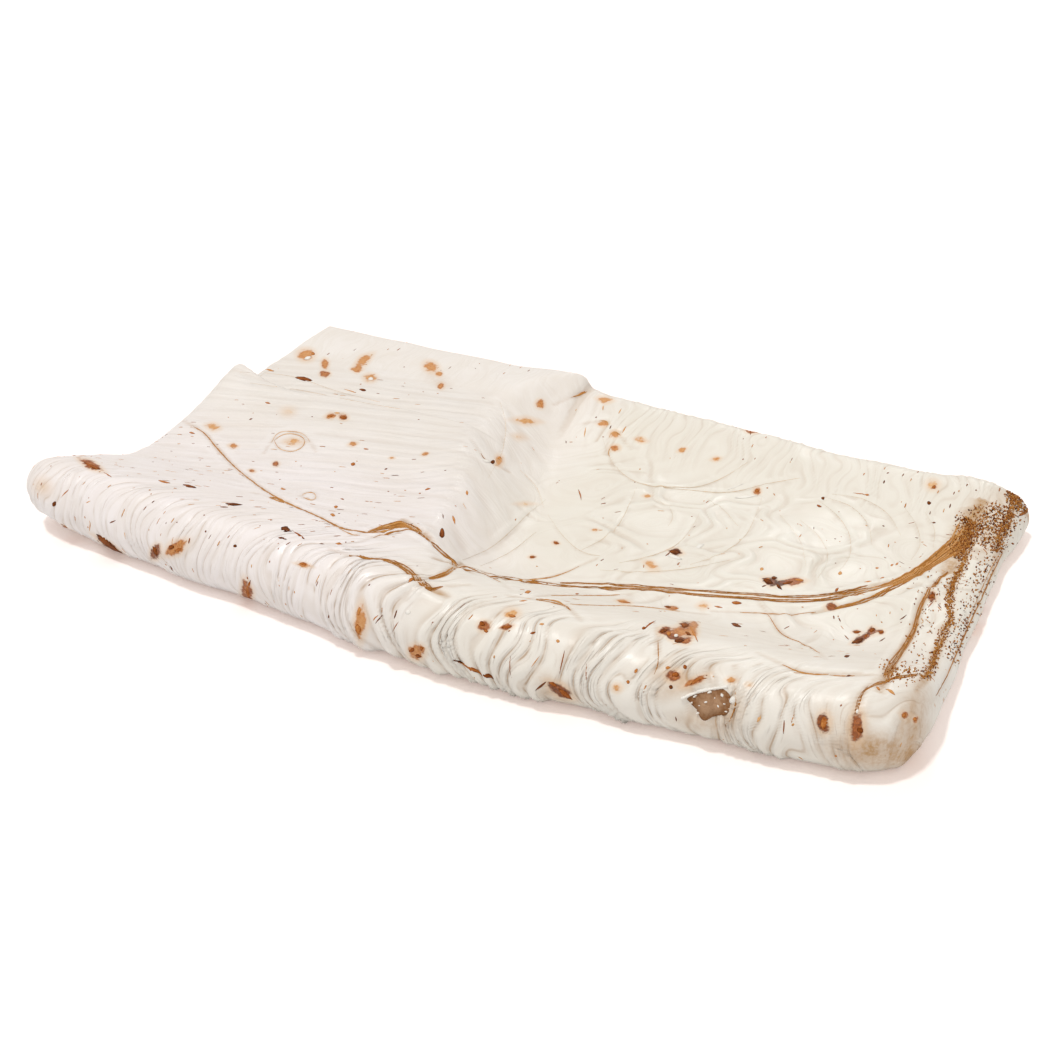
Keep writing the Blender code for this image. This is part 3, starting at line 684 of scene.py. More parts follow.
def edge_distances(x, y):
    """Distances to the left, right, front and back edges, never below 0."""
    distances = (x - left_edge(y), right_edge(y) - x, y - front_edge(x), back_edge(x) - y)
    return [np.maximum(d, 0.0) for d in distances]


def outline_distance(x, y):
    """Distance inwards from the outline with its rounded corners."""
    left, right, front, back = edge_distances(x, y)
    radius = corner_radius(x, y)
    side, end = np.minimum(left, right), np.minimum(front, back)
    inside = np.hypot(np.maximum(radius - side, 0.0), np.maximum(radius - end, 0.0))
    near = (side < radius) & (end < radius)
    return np.where(near, np.maximum(radius - inside, 0.0), np.minimum(side, end))


def edge_mix(x, y, values):
    """A value for each of the four edges, mixed by nearness."""
    weights = [1.0 / (d + EDGE_MIX_REACH) ** 2 for d in edge_distances(x, y)]
    total = sum(weights)
    return sum(w * value for w, value in zip(weights, values)) / total


def step_line(x):
    """Where the flap's back edge runs."""
    return through(x, STEP_X, STEP_Y)


def left_height(x, y, s):
    """Front roll, trough, flap, the step behind the flap and the back strip."""
    width = np.where(s < TROUGH_PLACE, TROUGH_FRONT_WIDTH, TROUGH_BACK_WIDTH)
    trough = through(x, TROUGH_X, TROUGH_DEPTH) * bell((s - TROUGH_PLACE) / width)
    flap = FLAP_RISE * ramp(FLAP_RISE_START, FLAP_RISE_END, s)
    line = step_line(x)
    drop = through(x, STEP_X, STEP_DROP) * ramp(line - STEP_WIDTH, line + STEP_WIDTH, y)
    strip = through(x, STEP_X, STRIP_RISE) * ramp(line, STRIP_RISE_END, y)
    curl = swell(x, y, *FLAP_CORNER) * (1.0 - ramp(line, line + STEP_WIDTH, y))
    return ROLL_HEIGHT - trough + flap - drop + strip + swell(x, y, *BACK_CORNER) + curl


def right_height(x, y, s):
    """The roll's inner slope, the basin, its back rim and the low right rim."""
    slope = 1.0 - ramp(CREST_END, BASIN_START, s)
    front = (through(x, CREST_X, CREST_HEIGHT) - BASIN_HEIGHT) * slope
    rim = (through(x, RIM_X, RIM_HEIGHT) - BASIN_HEIGHT) * ramp(RIM_FOOT, RIM_TOP, y)
    side = RIGHT_RIM_HEIGHT * ramp(RIGHT_RIM_FOOT, RIGHT_RIM_TOP, x)
    side = side * (1.0 - slope) * (1.0 - ramp(RIM_FOOT, RIM_TOP, y))
    return BASIN_HEIGHT + front + rim + side


def ridge_share(x, y):
    """0 on the left half, 1 in the basin, rising down the ridge's slope."""
    return ramp(through(y, RIDGE_Y, RIDGE_CREST), through(y, RIDGE_Y, RIDGE_FOOT), x)


def height(x, y):
    """The top's height without folds: the two halves, joined along the ridge."""
    s = y - front_edge(x)
    right = ridge_share(x, y)
    z = left_height(x, y, s) * (1.0 - right) + right_height(x, y, s) * right
    z = z + swell(x, y, *HUMP) * (1.0 - right)
    return z + sum(swell(x, y, *values) for values in SWELLS)


def quarter_round(share):
    """A quarter circle: 0 at 0, 1 from 1 on."""
    share = np.clip(share, 0.0, 1.0)
    return np.sqrt(1.0 - (1.0 - share) ** 2)


def nose_lift(x, y):
    """How far the nose is held clear of the surface under it."""
    away = np.hypot(x - NOSE_LIFT_X, y - NOSE_LIFT_Y)
    return NOSE_LIFT * (1.0 - ramp(0.0, NOSE_LIFT_REACH, away))


def edge_radius(x, y):
    """The radius of the rolled edge nearest to a place, wider on the left round the nose."""
    left = LEFT_RADIUS + (NOSE_RADIUS - LEFT_RADIUS) * bell((y - NOSE_PLACE) / NOSE_WIDTH)
    return edge_mix(x, y, (left, RIGHT_RADIUS, ROLL_RADIUS, BACK_RADIUS))


def seam_height(x, y):
    """The height at which the top side meets the underside."""
    share = edge_mix(x, y, (LEFT_SEAM, RIGHT_SEAM, FRONT_SEAM, BACK_SEAM))
    return share * height(x, y) + 0.5 * nose_lift(x, y)


def top_side(x, y):
    """The top side's height: the height surface, rolled down to the seam at the outline."""
    seam = seam_height(x, y)
    roll = quarter_round(outline_distance(x, y) / edge_radius(x, y))
    return seam + (height(x, y) - seam) * roll


def underside(x, y):
    """The underside's height: rolled in from the seam to the flat bottom."""
    lift = nose_lift(x, y)
    seam = seam_height(x, y)
    reach = UNDERSIDE_SHARE * edge_radius(x, y)
    return lift + (seam - lift) * (1.0 - quarter_round(outline_distance(x, y) / reach))


def climb(s):
    """Length of the way up the roll's round face and over its top, at a depth s."""
    face = np.clip(s / ROLL_RADIUS, 0.0, 1.0)
    return ROLL_RADIUS * np.arccos(1.0 - face) + np.maximum(s - ROLL_RADIUS, 0.0)


def bent(steps):
    """Shares of a quarter turn's depth in even steps of its angle, close together at first."""
    return 1.0 - np.cos(np.linspace(0.0, np.pi / 2, steps + 1))


def spacing(count, start_share, start_steps, end_share, end_steps, crowding=0.0):
    """Grid parameters from 0 to 1, closer over the rolled edges and, if crowded, at the step."""
    fine = np.linspace(start_share, 1.0 - end_share, 4000)
    density = 1.0 + crowding * bell((fine - STEP_ROW) / STEP_ROW_WIDTH)
    passed = np.cumsum(density) - density[0]
    middle = np.interp(np.linspace(0.0, passed[-1], count + 1)[1:-1], passed, fine)
    return np.concatenate([start_share * bent(start_steps), middle,
                           1.0 - end_share * bent(end_steps)[::-1]])


def grid_normals(points):
    """Unit normals of a grid of points, from the differences along its two ways."""
    along = np.gradient(points, axis=1)
    across = np.gradient(points, axis=0)
    normals = np.cross(along, across)
    return normals / np.linalg.norm(normals, axis=-1, keepdims=True)


def border(grid):
    """The grid's outer loop, once round anticlockwise from the front left."""
    return np.concatenate([grid[0, :-1], grid[:-1, -1], grid[-1, :0:-1], grid[:0:-1, 0]])


def front_flow(x, y, way):
    """Coordinates across and along the lines of the front roll and the left half.

    Across is x, closer spaced on the left, less a parabola of the way up that curls the
    lines like a bracket, and less a second one that turns them along the slab above the
    crest, more on the left. On the right the lines wander like ropes. Along is the length
    of the way up, below 0 under the seam.
    """
    turned = np.maximum(way - TURN_START, 0.0)
    capped = np.minimum(turned, TURN_REACH)
    rightness = ramp(*RIGHT_HALF, x)
    rate = TURN_LEFT + (TURN_RIGHT - TURN_LEFT) * rightness
    place = CURL_PLACE[1] + (CURL_PLACE[0] - CURL_PLACE[1]) * rightness
    curl = FACE_CURL * (np.clip(way, *CURL_RANGE) - place) ** 2
    crowded = LEFT_CROWDING * (x + 0.03) * (1.0 - ramp(*CROWDING_PLACE, x))
    wander = ROPE_WANDER * rightness * noise(x / ROPE_SIZE[0], way / ROPE_SIZE[1], 41)
    return x + crowded + wander - curl - rate * (2.0 * turned - capped) * capped, way


def back_flow(x, y, way):
    """Coordinates across and along the gathers of the back rim, which lean a little."""
    return x + RIM_LEAN * y, y


def ridge_flow(x, y, way):
    """Coordinates across and along the wrinkles that run down the ridge's slope."""
    return y + RIDGE_LEAN * x, x - RIDGE_LEAN * y


def pick(layers, choice):
    """Values of the layer that is chosen at each place."""
    return np.take_along_axis(layers, choice[None], 0)[0]


def basin_fans(x, y):
    """Distance of a place from its fan's middle, how far it is inside the fan, and its share.

    The plan wanders by slow noise. The fan with the least share of its reach wins, and
    the gap to the next share tells how far inside a place lies. Arcs show on the side of
    the fan's middle that faces the back, and not close to the middle.
    """
    moved_x = x + FAN_WANDER * noise(x / FAN_WANDER_SIZE, y / FAN_WANDER_SIZE, 11)
    moved_y = y + FAN_WANDER * noise(x / FAN_WANDER_SIZE, y / FAN_WANDER_SIZE, 12)
    away = np.stack([np.hypot(moved_x - fan_x, moved_y - fan_y) for fan_x, fan_y, _ in FANS])
    share = away / np.array([reach for *_, reach in FANS])[:, None, None]
    order = np.argsort(share, axis=0)
    least, second = (pick(share, order[k]) for k in (0, 1))
    distance = pick(away, order[0])
    rise = np.stack([FAN_SIDE[0] * (moved_x - fan_x) + FAN_SIDE[1] * (moved_y - fan_y)
                     for fan_x, fan_y, _ in FANS])
    facing = pick(rise, order[0]) / (distance + 1e-6)
    shows = ramp(0.0, 0.75, facing) * ramp(*FAN_HOLE, distance)
    return distance, (second - least) * 0.5 * FANS[0][2], shows


def basin_flow(x, y, way):
    """Coordinates across and along the arcs of the basin's fans."""
    return basin_fans(x, y)[0], 0.7 * (x - y)


FLOWS = (front_flow, back_flow, ridge_flow, basin_flow)


def zones(x, y):
    """Shares of the front, back, ridge and basin lines at a place, which add up to 1."""
    s = y - front_edge(x)
    right = ridge_share(x, y)
    ridge = np.clip(4.0 * right * (1.0 - right), 0.0, 1.0) * ramp(*RIDGE_ZONE, s)
    back = ramp(*BACK_ZONE, y) * (1.0 - ridge)
    basin = right * ramp(*BASIN_ZONE, s) * (1.0 - back) * (1.0 - ridge)
    return 1.0 - back - ridge - basin, back, ridge, basin


def fold_phase(flow, pitch, seed):
    """A count of the folds across a flow: one unit for each, unevenly wide and wandering."""
    across, along = flow
    phase = across / pitch
    for k, (wide, long, moved) in enumerate(FOLD_WANDERS):
        phase = phase + moved * noise(across / (wide * pitch), along / (long * pitch), seed + k)
    return phase


def fold_rise(phase, along, length, seed):
    """Height of a fold from 0 to 1: a skewed bump over each unit, of uneven strength.

    The bump is half a wave of a cosine over the unit to a power, and the strength is
    noise along each fold.
    """
    share = (phase - np.floor(phase)) ** FOLD_SKEW
    least, more = FOLD_STRENGTH
    strength = least + more * noise(np.floor(phase) * 1.37 + 0.5, along / length, seed)
    return (0.5 - 0.5 * np.cos(2 * np.pi * share)) * np.clip(strength, *FOLD_STRENGTH_RANGE)


def fading(x, way, fade):
    """From 1 on the roll's face to 0 past its crest, which comes sooner on the right."""
    cut = CREST_CUT * ramp(*CREST_CUT_X, x)
    return 1.0 - ramp(0.0, fade[1] - fade[0] - 0.4 * cut, way - fade[0] + 0.6 * cut)


def liveliness(x, y):
    """How far the front folds have grown from left to right, and their share on the corner."""
    growth = FOLD_LEAST + (1.0 - FOLD_LEAST) * ramp(*FOLD_GROWTH, x)
    return growth, 1.0 - CORNER_CALM * swell(x, y, *CORNER_BULGE, 1.0)


def fold_fields(x, y, way, sizes):
    """For each zone's folds: phase, place along, and strength of the lines of painted shade in the valleys.
    """
    growth, calm = liveliness(x, y)
    front, back, ridge, basin = (lines(x, y, way) for lines in FLOWS)
    _, inside, shows = basin_fans(x, y)
    drawn = FRONT_LINES[0] + FRONT_LINES[1] * growth
    line_share = LINE_LEAST + (1.0 - LINE_LEAST) * fading(x, way, LINE_FADE)
    fields = {
        "front_flow": (front, sizes.fold_pitch, 1, drawn * calm * line_share),
        "back_flow": (back, RIM_FOLD_PITCH, 4,
                      RIM_LINES * ramp(*BACK_GATHERS, x) * ramp(*RIM_LINES_START, y)),
        "ridge_flow": (ridge, RIDGE_FOLD_PITCH, 5, np.full_like(x, RIDGE_LINES)),
        "basin_flow": (basin, FAN_PITCH, 6, FAN_LINES * ramp(*FAN_LINES_START, inside) * shows),
    }
    for key, (flow, spaced, seed, strength) in fields.items():
        phase = fold_phase(flow, spaced, seed)
        steep = spaced * np.hypot(*np.gradient(phase)) / (np.hypot(*np.gradient(flow[0])) + 1e-9)
        fields[key] = (phase, flow[1], strength * ramp(*LINE_STEEPNESS, steep))
    return fields


def gathers(x, y, way, sizes):
    """Height of the gathered dough's folds over the smooth form."""
    front, back, ridge, basin = zones(x, y)
    growth, calm = liveliness(x, y)
    fields = fold_fields(x, y, way, sizes)
    rise = {key: fold_rise(phase, along, FOLD_LENGTH, 31) for key, (phase, along, _) in fields.items()}
    patches = np.clip(0.85 + 0.75 * noise(x / PATCH_SIZE[0], way / PATCH_SIZE[1], 8), 0.2, 1.5)
    strength = growth * calm * patches * fading(x, way, FOLD_FADE)
    relief = sizes.fold_height * rise["front_flow"] * strength * front
    drawn = noise(x / DRAWN_SIZE[0], (y - DRAWN_LEAN * x) / DRAWN_SIZE[1], 3) * ramp(*DRAWN_START, way)
    relief += DRAWN_SHARE * sizes.fold_height * drawn * front
    relief += sizes.rim_fold_height * rise["back_flow"] * back * ramp(*BACK_GATHERS, x)
    across, along = ridge_flow(x, y, way)
    relief += sizes.ridge_height * noise(across / WRINKLE_SIZE[0], along / WRINKLE_SIZE[1], 9) * ridge
    _, inside, shows = basin_fans(x, y)
    petals = 0.6 * rise["basin_flow"] * ramp(0.0, 0.004, inside) * shows
    petals += 1.1 * bell((inside - PETAL_LIP) / FAN_LIP) - 0.35 * bell(inside / PETAL_GROOVE)
    petals *= np.clip(0.6 + noise(x / PETAL_SIZE, y / PETAL_SIZE, 14), 0.15, 1.3)
    relief += sizes.swirl_height * petals * basin
    swells = noise(x / SWELL_SIZE[0], y / SWELL_SIZE[1], 7)
    relief += sizes.swell_height * swells * ramp(0.0, 0.02, y - front_edge(x))
    return relief


def eye_and_axes(view):
    """The camera's place and its right, up and forward directions, from its angles."""
    azimuth, elevation = view.azimuth, view.elevation
    level = np.cos(elevation)
    back = np.array([np.sin(azimuth) * level, -np.cos(azimuth) * level, np.sin(elevation)])
    right = np.array([np.cos(azimuth), np.sin(azimuth), 0.0])
    return np.array(view.target) + view.distance * back, right, np.cross(back, right), -back


def in_picture(points, view):
    """Picture places of points: their sideways share of depth times the lens."""
    eye, right, up, ahead = eye_and_axes(view)
    focus = LENS / SENSOR * PICTURE
    away = points - eye
    depth = away @ ahead
    return np.stack([PICTURE / 2 + focus * (away @ right) / depth,
                     PICTURE / 2 - focus * (away @ up) / depth], axis=-1)


def find(places, skin):
    """Fractional rows and columns of the skin that show at places in the picture.

    A ray from the camera meets a cell of the grid, and the place within the cell comes
    from its two sides. A place just off the bread takes the nearest point of its edge.
    """
    eye, right, up, ahead = eye_and_axes(skin.view)
    focus = LENS / SENSOR * PICTURE
    places = np.atleast_2d(np.asarray(places, dtype=float))
    rays = ahead + np.outer((places[:, 0] - PICTURE / 2) / focus, right)
    rays = rays - np.outer((places[:, 1] - PICTURE / 2) / focus, up)
    found = []
    for place, ray in zip(places, rays):
        spot, _, cell, _ = skin.tree.ray_cast(Vector(eye), Vector(ray))
        if spot is None:
            off = np.linalg.norm(skin.picture - place, axis=-1)
            found.append(np.unravel_index(np.argmin(off), off.shape))
            continue
        row, column = divmod(cell, skin.smooth.shape[1] - 1)
        corner = skin.folded[row, column]
        sides = np.stack([skin.folded[row + 1, column], skin.folded[row, column + 1]], axis=1)
        sides = sides - corner[:, None]
        share = np.linalg.lstsq(sides, np.array(spot) - corner, rcond=None)[0]
        found.append(np.array([row, column]) + np.clip(share, 0.0, 1.0))
    return np.array(found, dtype=float)


def sample(grid, at):
    """Values of a grid at fractional rows and columns, straight between its points."""
    rows, columns = grid.shape[:2]
    row = np.clip(at[..., 0], 0, rows - 1.001)
    column = np.clip(at[..., 1], 0, columns - 1.001)
    i, j = row.astype(int), column.astype(int)
    fi, fj = (row - i)[..., None], (column - j)[..., None]
    low = grid[i, j] * (1 - fj) + grid[i, j + 1] * fj
    high = grid[i + 1, j] * (1 - fj) + grid[i + 1, j + 1] * fj
    return low * (1 - fi) + high * fi


def steps_per_pixel(skin, at):
    """How rows and columns change for each pixel right and down, from the smooth form."""
    rows, columns = skin.picture.shape[:2]
    i = np.clip(np.round(at[:, 0]).astype(int), 2, rows - 3)
    j = np.clip(np.round(at[:, 1]).astype(int), 2, columns - 3)
    by_row = (skin.picture[i + 2, j] - skin.picture[i - 2, j]) / 4.0
    by_column = (skin.picture[i, j + 2] - skin.picture[i, j - 2]) / 4.0
    change = np.stack([by_row, by_column], axis=-1)
    size = by_row[:, 0] * by_column[:, 1] - by_row[:, 1] * by_column[:, 0]
    least = 0.35 * np.linalg.norm(by_row, axis=1) * np.linalg.norm(by_column, axis=1)
    size = np.sign(size) * np.maximum(np.abs(size), least)
    turned = np.stack([np.stack([change[:, 1, 1], -change[:, 0, 1]], axis=-1),
                       np.stack([-change[:, 1, 0], change[:, 0, 0]], axis=-1)], axis=1)
    return turned / size[:, None, None]


def smooth_path(places, spread):
    """A path through places, with a point about every pixel's spread, by cubics."""
    places = np.asarray(places, dtype=float)
    passed = np.concatenate([[0.0], np.cumsum(np.linalg.norm(np.diff(places, axis=0), axis=1))])
    count = max(int(passed[-1] / spread), 3) + 1
    t = np.linspace(0.0, passed[-1], count)
    return np.stack([through(t, passed, places[:, k]) for k in (0, 1)], axis=-1)


def sides_of(places):
    """Unit directions along a path in the picture, and square to it towards its right."""
    way = np.gradient(places, axis=0)
    way = way / np.linalg.norm(way, axis=1, keepdims=True)
    return way, way[:, ::-1] * (1.0, -1.0)


def widths(line, share):
    """The width of a line at shares of its length."""
    return np.interp(share, np.linspace(0, 1, len(line.wide)), line.wide)


def follow(places, skin, reach):
    """Rows and columns along a path in the picture, evened by a running mean of points."""
    at = find(places, skin)
    reach = min(reach, len(at) // 4)
    padded = np.pad(at, ((reach, reach), (0, 0)), "reflect", reflect_type="odd")
    share = np.full(2 * reach + 1, 1.0 / (2 * reach + 1))
    return np.stack([np.convolve(padded[:, k], share, "valid") for k in (0, 1)], axis=-1)


def near_path(points, path, reach):
    """Distance from each grid point to a path, its side of it and the share along it.

    Only points within reach are worked out. The others keep the reach as distance.
    """
    distance = np.full(points.shape[:2], reach)
    side = np.zeros(points.shape[:2])
    share = np.zeros(points.shape[:2])
    low, high = path.min(axis=0) - reach, path.max(axis=0) + reach
    inside = np.all((points > low) & (points < high), axis=-1)
    if not inside.any():
        return distance, side, share
    chosen = points[inside]
    apart = np.linalg.norm(chosen[:, None, :] - path[None, :, :], axis=-1)
    nearest = apart.argmin(axis=1)
    along = np.gradient(path, axis=0)[nearest]
    away = chosen - path[nearest]
    along = along / (np.linalg.norm(along, axis=1, keepdims=True) + 1e-12)
    off = np.linalg.norm(away - along * np.sum(away * along, axis=1, keepdims=True), axis=1)
    distance[inside] = np.minimum(np.where(apart.min(axis=1) < reach, off, reach), reach)
    side[inside] = np.sign(along[:, 0] * away[:, 1] - along[:, 1] * away[:, 0])
    share[inside] = nearest / (len(path) - 1)
    return distance, side, share


def mark_field(skin, mark, power=2.0):
    """Distance from a mark's middle in the picture, 1 at its rim, far where it isn't near.

    The two shares, along and across, are added as powers: 2 gives an oval, less a leaf.
    """
    at = find([(mark.x, mark.y)], skin)
    centre = sample(skin.smooth, at)[0]
    away = np.linalg.norm(skin.smooth - centre, axis=-1)
    offset = skin.picture - sample(skin.picture, at)[0]
    turn = np.radians(mark.turn)
    along = (offset[..., 0] * np.cos(turn) + offset[..., 1] * np.sin(turn)) / (0.5 * mark.long)
    across = (offset[..., 1] * np.cos(turn) - offset[..., 0] * np.sin(turn)) / (0.5 * mark.wide)
    near = away < PIXEL * max(mark.long, mark.wide) * NEAR_SIZES + NEAR_MARGIN
    return np.where(near, (np.abs(along) ** power + np.abs(across) ** power) ** (1.0 / power), FAR)


def blister(away):
    """A dome with a shallow crater in it, by the distance from its middle over its radius."""
    return bell(away / 1.1) - 1.1 * bell(away / 0.6)


class FineSkin:
    """The bread's grid: smooth form, with its folds, and finished with its marks.

    Its inner rows and columns are the top side. The outer rings go on under the seam,
    down the round edge and in over the flat bottom, each at its inset from the outline.
    """

    def __init__(self, sizes, view):
        """Build the three grids, then sink and colour each mark into the last."""
        self.view = view
        length, depth = RIGHT_X - LEFT_X, BACK_Y - FRONT_Y
        columns = spacing(COLUMNS, LEFT_RADIUS / length, LEFT_STEPS, RIGHT_RADIUS / length, RIGHT_STEPS)
        rows = spacing(ROWS, ROLL_RADIUS / depth, FRONT_STEPS, BACK_RADIUS / depth, BACK_STEPS,
                       STEP_ROW_CROWDING)
        insets = np.concatenate([SKIRT_REACH * bent(SKIRT_RINGS), FLAT_INSETS])
        rings, last_row, last_column = len(insets) - 1, len(rows) - 1, len(columns) - 1
        i, j = np.mgrid[:last_row + 1 + 2 * rings, :last_column + 1 + 2 * rings]
        ring = np.maximum(np.maximum(rings - i, i - last_row - rings),
                          np.maximum(rings - j, j - last_column - rings)).clip(0)
        row = (i - rings + ring) * last_row / (last_row + 2.0 * ring)
        column = (j - rings + ring) * last_column / (last_column + 2.0 * ring)
        v = np.interp(row, np.arange(len(rows)), rows)
        u = np.interp(column, np.arange(len(columns)), columns)
        self.inset = insets[ring]
        x, y = plan(u, v)
        in_x, in_y = plan(0.5 + (u - 0.5) * (1.0 - 2.0 * self.inset / length),
                          0.5 + (v - 0.5) * (1.0 - 2.0 * self.inset / depth))
        z = np.where(ring == 0, top_side(x, y), underside(in_x, in_y))
        self.way = climb(y - front_edge(x)) - np.where(ring > 0, seam_height(x, y) - z, 0.0)
        self.x, self.y = x, y = in_x, in_y
        self.smooth = np.stack([x, y, z], axis=-1) + np.array([*CENTRE_SHIFT, 0.0])
        self.outward = grid_normals(self.smooth)
        self.relief = gathers(x, y, self.way, sizes) * (1.0 - ramp(*UNDER_FADE, self.inset))
        self.folded = self.smooth + self.relief[..., None] * self.outward
        self.picture = in_picture(self.folded, view)
        index = np.arange(x.size).reshape(x.shape)
        self.quads = np.stack([index[:-1, :-1], index[:-1, 1:], index[1:, 1:], index[1:, :-1]], axis=-1)
        self.quads = self.quads.reshape(-1, 4)
        self.tree = BVHTree.FromPolygons(self.folded.reshape(-1, 3).tolist(), self.quads.tolist())
        self.toast = np.zeros(x.shape)
        self.tone = np.full(x.shape, 0.3)
        self.tint = np.zeros(x.shape)
        self.add_toasts(sizes)
        self.add_far_toasts(sizes)
        self.add_creases(sizes)
        self.add_soft_folds(sizes)
        self.sink_gap()
        self.sink_torn_patch(sizes)
        self.points = self.smooth + self.relief[..., None] * self.outward
        self.points[..., 2] = np.maximum(self.points[..., 2], 0.0)
        self.normals = grid_normals(self.points)

    def brown(self, cover, tone):
        """Colour the skin where a cover is more than the toast so far."""
        self.tone = np.where(cover > self.toast, tone, self.tone)
        self.toast = np.maximum(self.toast, cover)

    def add_toasts(self, sizes):
        """Colour each toasted place and raise it: a dome with a shallow crater in it."""
        for mark in TOASTS:
            away = mark_field(self, mark, LEAF_POWER if mark.long > 1.5 * mark.wide else 2.0)
            cover = np.clip(1.0 - 0.5 * away, 0.0, 1.0) * min(0.50 + 1.1 * mark.tone, 1.0)
            self.brown(cover, mark.tone)
            self.relief += sizes.blister_height * min(mark.wide / 10.0, 1.0) * blister(away)

    def add_far_toasts(self, sizes):
        """Toast random places on the sides that the picture's camera doesn't see."""
        rng = np.random.default_rng(SEED + 3)
        towards = eye_and_axes(self.view)[0] - self.smooth
        hidden = (np.sum(self.outward * towards, axis=-1) < 0) * (1.0 - ramp(*UNDER_FADE, self.inset))
        chosen = rng.choice(self.x.size, size=FAR_TOASTS, replace=False, p=hidden.ravel() / hidden.sum())
        for centre in self.smooth.reshape(-1, 3)[chosen]:
            stretch = rng.uniform(*FAR_TOAST_SIZE, 3)
            away = np.linalg.norm((self.smooth - centre) / stretch, axis=-1)
            self.brown(np.clip(1.0 - 0.5 * away, 0.0, 1.0), rng.uniform(0.25, 0.75))
            self.relief += 0.6 * sizes.blister_height * blister(away)

    def add_creases(self, sizes):
        """Sink a groove with raised lips along each browned crease, and tint it."""
        for line in CREASES + [STREAK]:
            path = sample(self.folded, follow(smooth_path(line.path, 3.0), self, 2))
            away, _, share = near_path(self.smooth, path, CREASE_REACH)
            wide = widths(line, share)
            depth = sizes.crease_depth * np.clip(wide / 3.0, 0.25, 1.0)
            half = np.maximum(CREASE_HALF, 0.00022 * wide)
            groove = bell(away / half) - LIP_SHARE * bell((away - LIP_PLACE - 0.5 * half) / LIP_HALF)
            self.relief -= depth * groove
            tint = bell(away / (0.00021 * wide + 0.0006)) * np.clip(wide / 3.4, 0.22, 1.0)
            self.tint = np.maximum(self.tint, tint)
        for band in DUST[:DENSE_BANDS]:
            places = smooth_path(band.path, 3.0)
            away = near_path(self.smooth, sample(self.folded, find(places, self)), BAND_REACH)[0]
            packed = np.clip(band.count / (3.0 * len(places) * band.half * DUST_FULL), 0.0, 0.9)
            self.tint = np.maximum(self.tint, packed * bell(away / (0.00040 * band.half)))
        for mark in STAINS:
            away = mark_field(self, mark)
            self.tint = np.maximum(self.tint, mark.tone * np.clip(1.2 * bell(away * 0.9) - 0.1, 0.0, 1.0))

    def add_soft_folds(self, sizes):
        """Lift one side of each uncoloured fold a little over a fine groove."""
        for strength, places in SOFT_FOLDS:
            path = sample(self.folded, follow(smooth_path(places, 4.0), self, 1))
            away, side, share = near_path(self.smooth, path, SOFT_REACH)
            ends = ramp(0.0, 0.25, share) * (1.0 - ramp(0.75, 1.0, share))
            ends = ends * np.clip(0.65 + 0.95 * noise(share * 5.0 + places[0][0], 0.0, 15), 0.1, 1.2)
            lip = bell((away * side - 0.0016) / 0.0016) - 0.9 * bell((away * side + 0.0004) / 0.0010)
            self.relief += sizes.soft_fold_height * strength * ends * lip * (away < SOFT_REACH)

    def sink_gap(self):
        """Sink the gap beside the hump, less deep towards its end, with a lip on one side."""
        path = sample(self.folded, find(smooth_path(GAP, 3.0), self))
        away, side, share = near_path(self.smooth, path, BAND_REACH)
        fade = (1.0 - ramp(0.3, 1.0, share)) * (away < BAND_REACH)
        self.relief -= GAP_DEPTH * fade * bell(away / GAP_HALF)
        self.relief += 0.35 * GAP_DEPTH * fade * bell((away - 2.0 * GAP_HALF) / GAP_HALF) * (side > 0)

    def sink_torn_patch(self, sizes):
        """Press the skin in under the torn patch."""
        middle = np.mean(TORN_RIM, axis=0)
        away = mark_field(self, Mark(*middle, 52, 34, -6, 0.5))
        self.relief -= sizes.torn_depth * (1.0 - ramp(0.75, 1.15, away))


def skin(context):
    """The fine skin, built once and shared by the operators of one run."""
    if "skin" not in SHARED:
        SHARED["skin"] = FineSkin(context.scene.lavash_sizes, context.scene.lavash_stage)
    return SHARED["skin"]


def make_piece(name, points, faces, material, values):
    """Put points and faces into a mesh that rides on the bread, with its attributes."""
    mesh = bpy.data.meshes.new(name)
    mesh.from_pydata(np.asarray(points).tolist(), [], faces)
    for key, array in values.items():
        array = np.asarray(array, dtype=np.float32)
        kind, field = ("FLOAT_VECTOR", "vector") if array.ndim == 2 else ("FLOAT", "value")
        layer = mesh.attributes.new(key, kind, "POINT")
        layer.data.foreach_set(field, array.ravel())
    mesh.materials.append(material)
    mesh.shade_smooth()
    piece = bpy.data.objects.new(name, mesh)
    bpy.context.scene.collection.objects.link(piece)
    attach(piece, "root")
    return piece


def skin_mesh(fine):
    """Points and faces of the closed skin: its grid, and one face over the flat bottom."""
    index = np.arange(fine.x.size).reshape(fine.x.shape)
    return fine.points.reshape(-1, 3), fine.quads.tolist() + [border(index)[::-1].tolist()]


def skin_values(fine, sizes):
    """The skin's attributes: folds of each zone, zone shares, toast, tone, tint, warmth, and painted shade
    of hollows and underside.
    """
    x, y = fine.x, fine.y
    kernel = np.ones(7) / 7.0
    level = np.apply_along_axis(np.convolve, 0, fine.relief, kernel, "same")
    level = np.apply_along_axis(np.convolve, 1, level, kernel, "same")
    warmth = WARM_RIGHT * ramp(*WARM_X, x) + WARM_BACK * ramp(*WARM_DEPTH, y - front_edge(x))
    values = {key: np.stack(field, axis=-1) for key, field in fold_fields(x, y, fine.way, sizes).items()}
    values.update({
        "zone": np.stack(zones(x, y)[:3], axis=-1), "toast": fine.toast, "tone": fine.tone,
        "tint": fine.tint, "hollow_shade": np.clip((level - fine.relief) / HOLLOW_DEPTH, -1.0, 1.0),
        "warmth": np.clip(warmth, 0.0, 1.0), "under": ramp(*UNDER_SHADE, fine.inset),
    })
    return {key: grid.reshape(-1, 3) if grid.ndim == 3 else grid.ravel() for key, grid in values.items()}


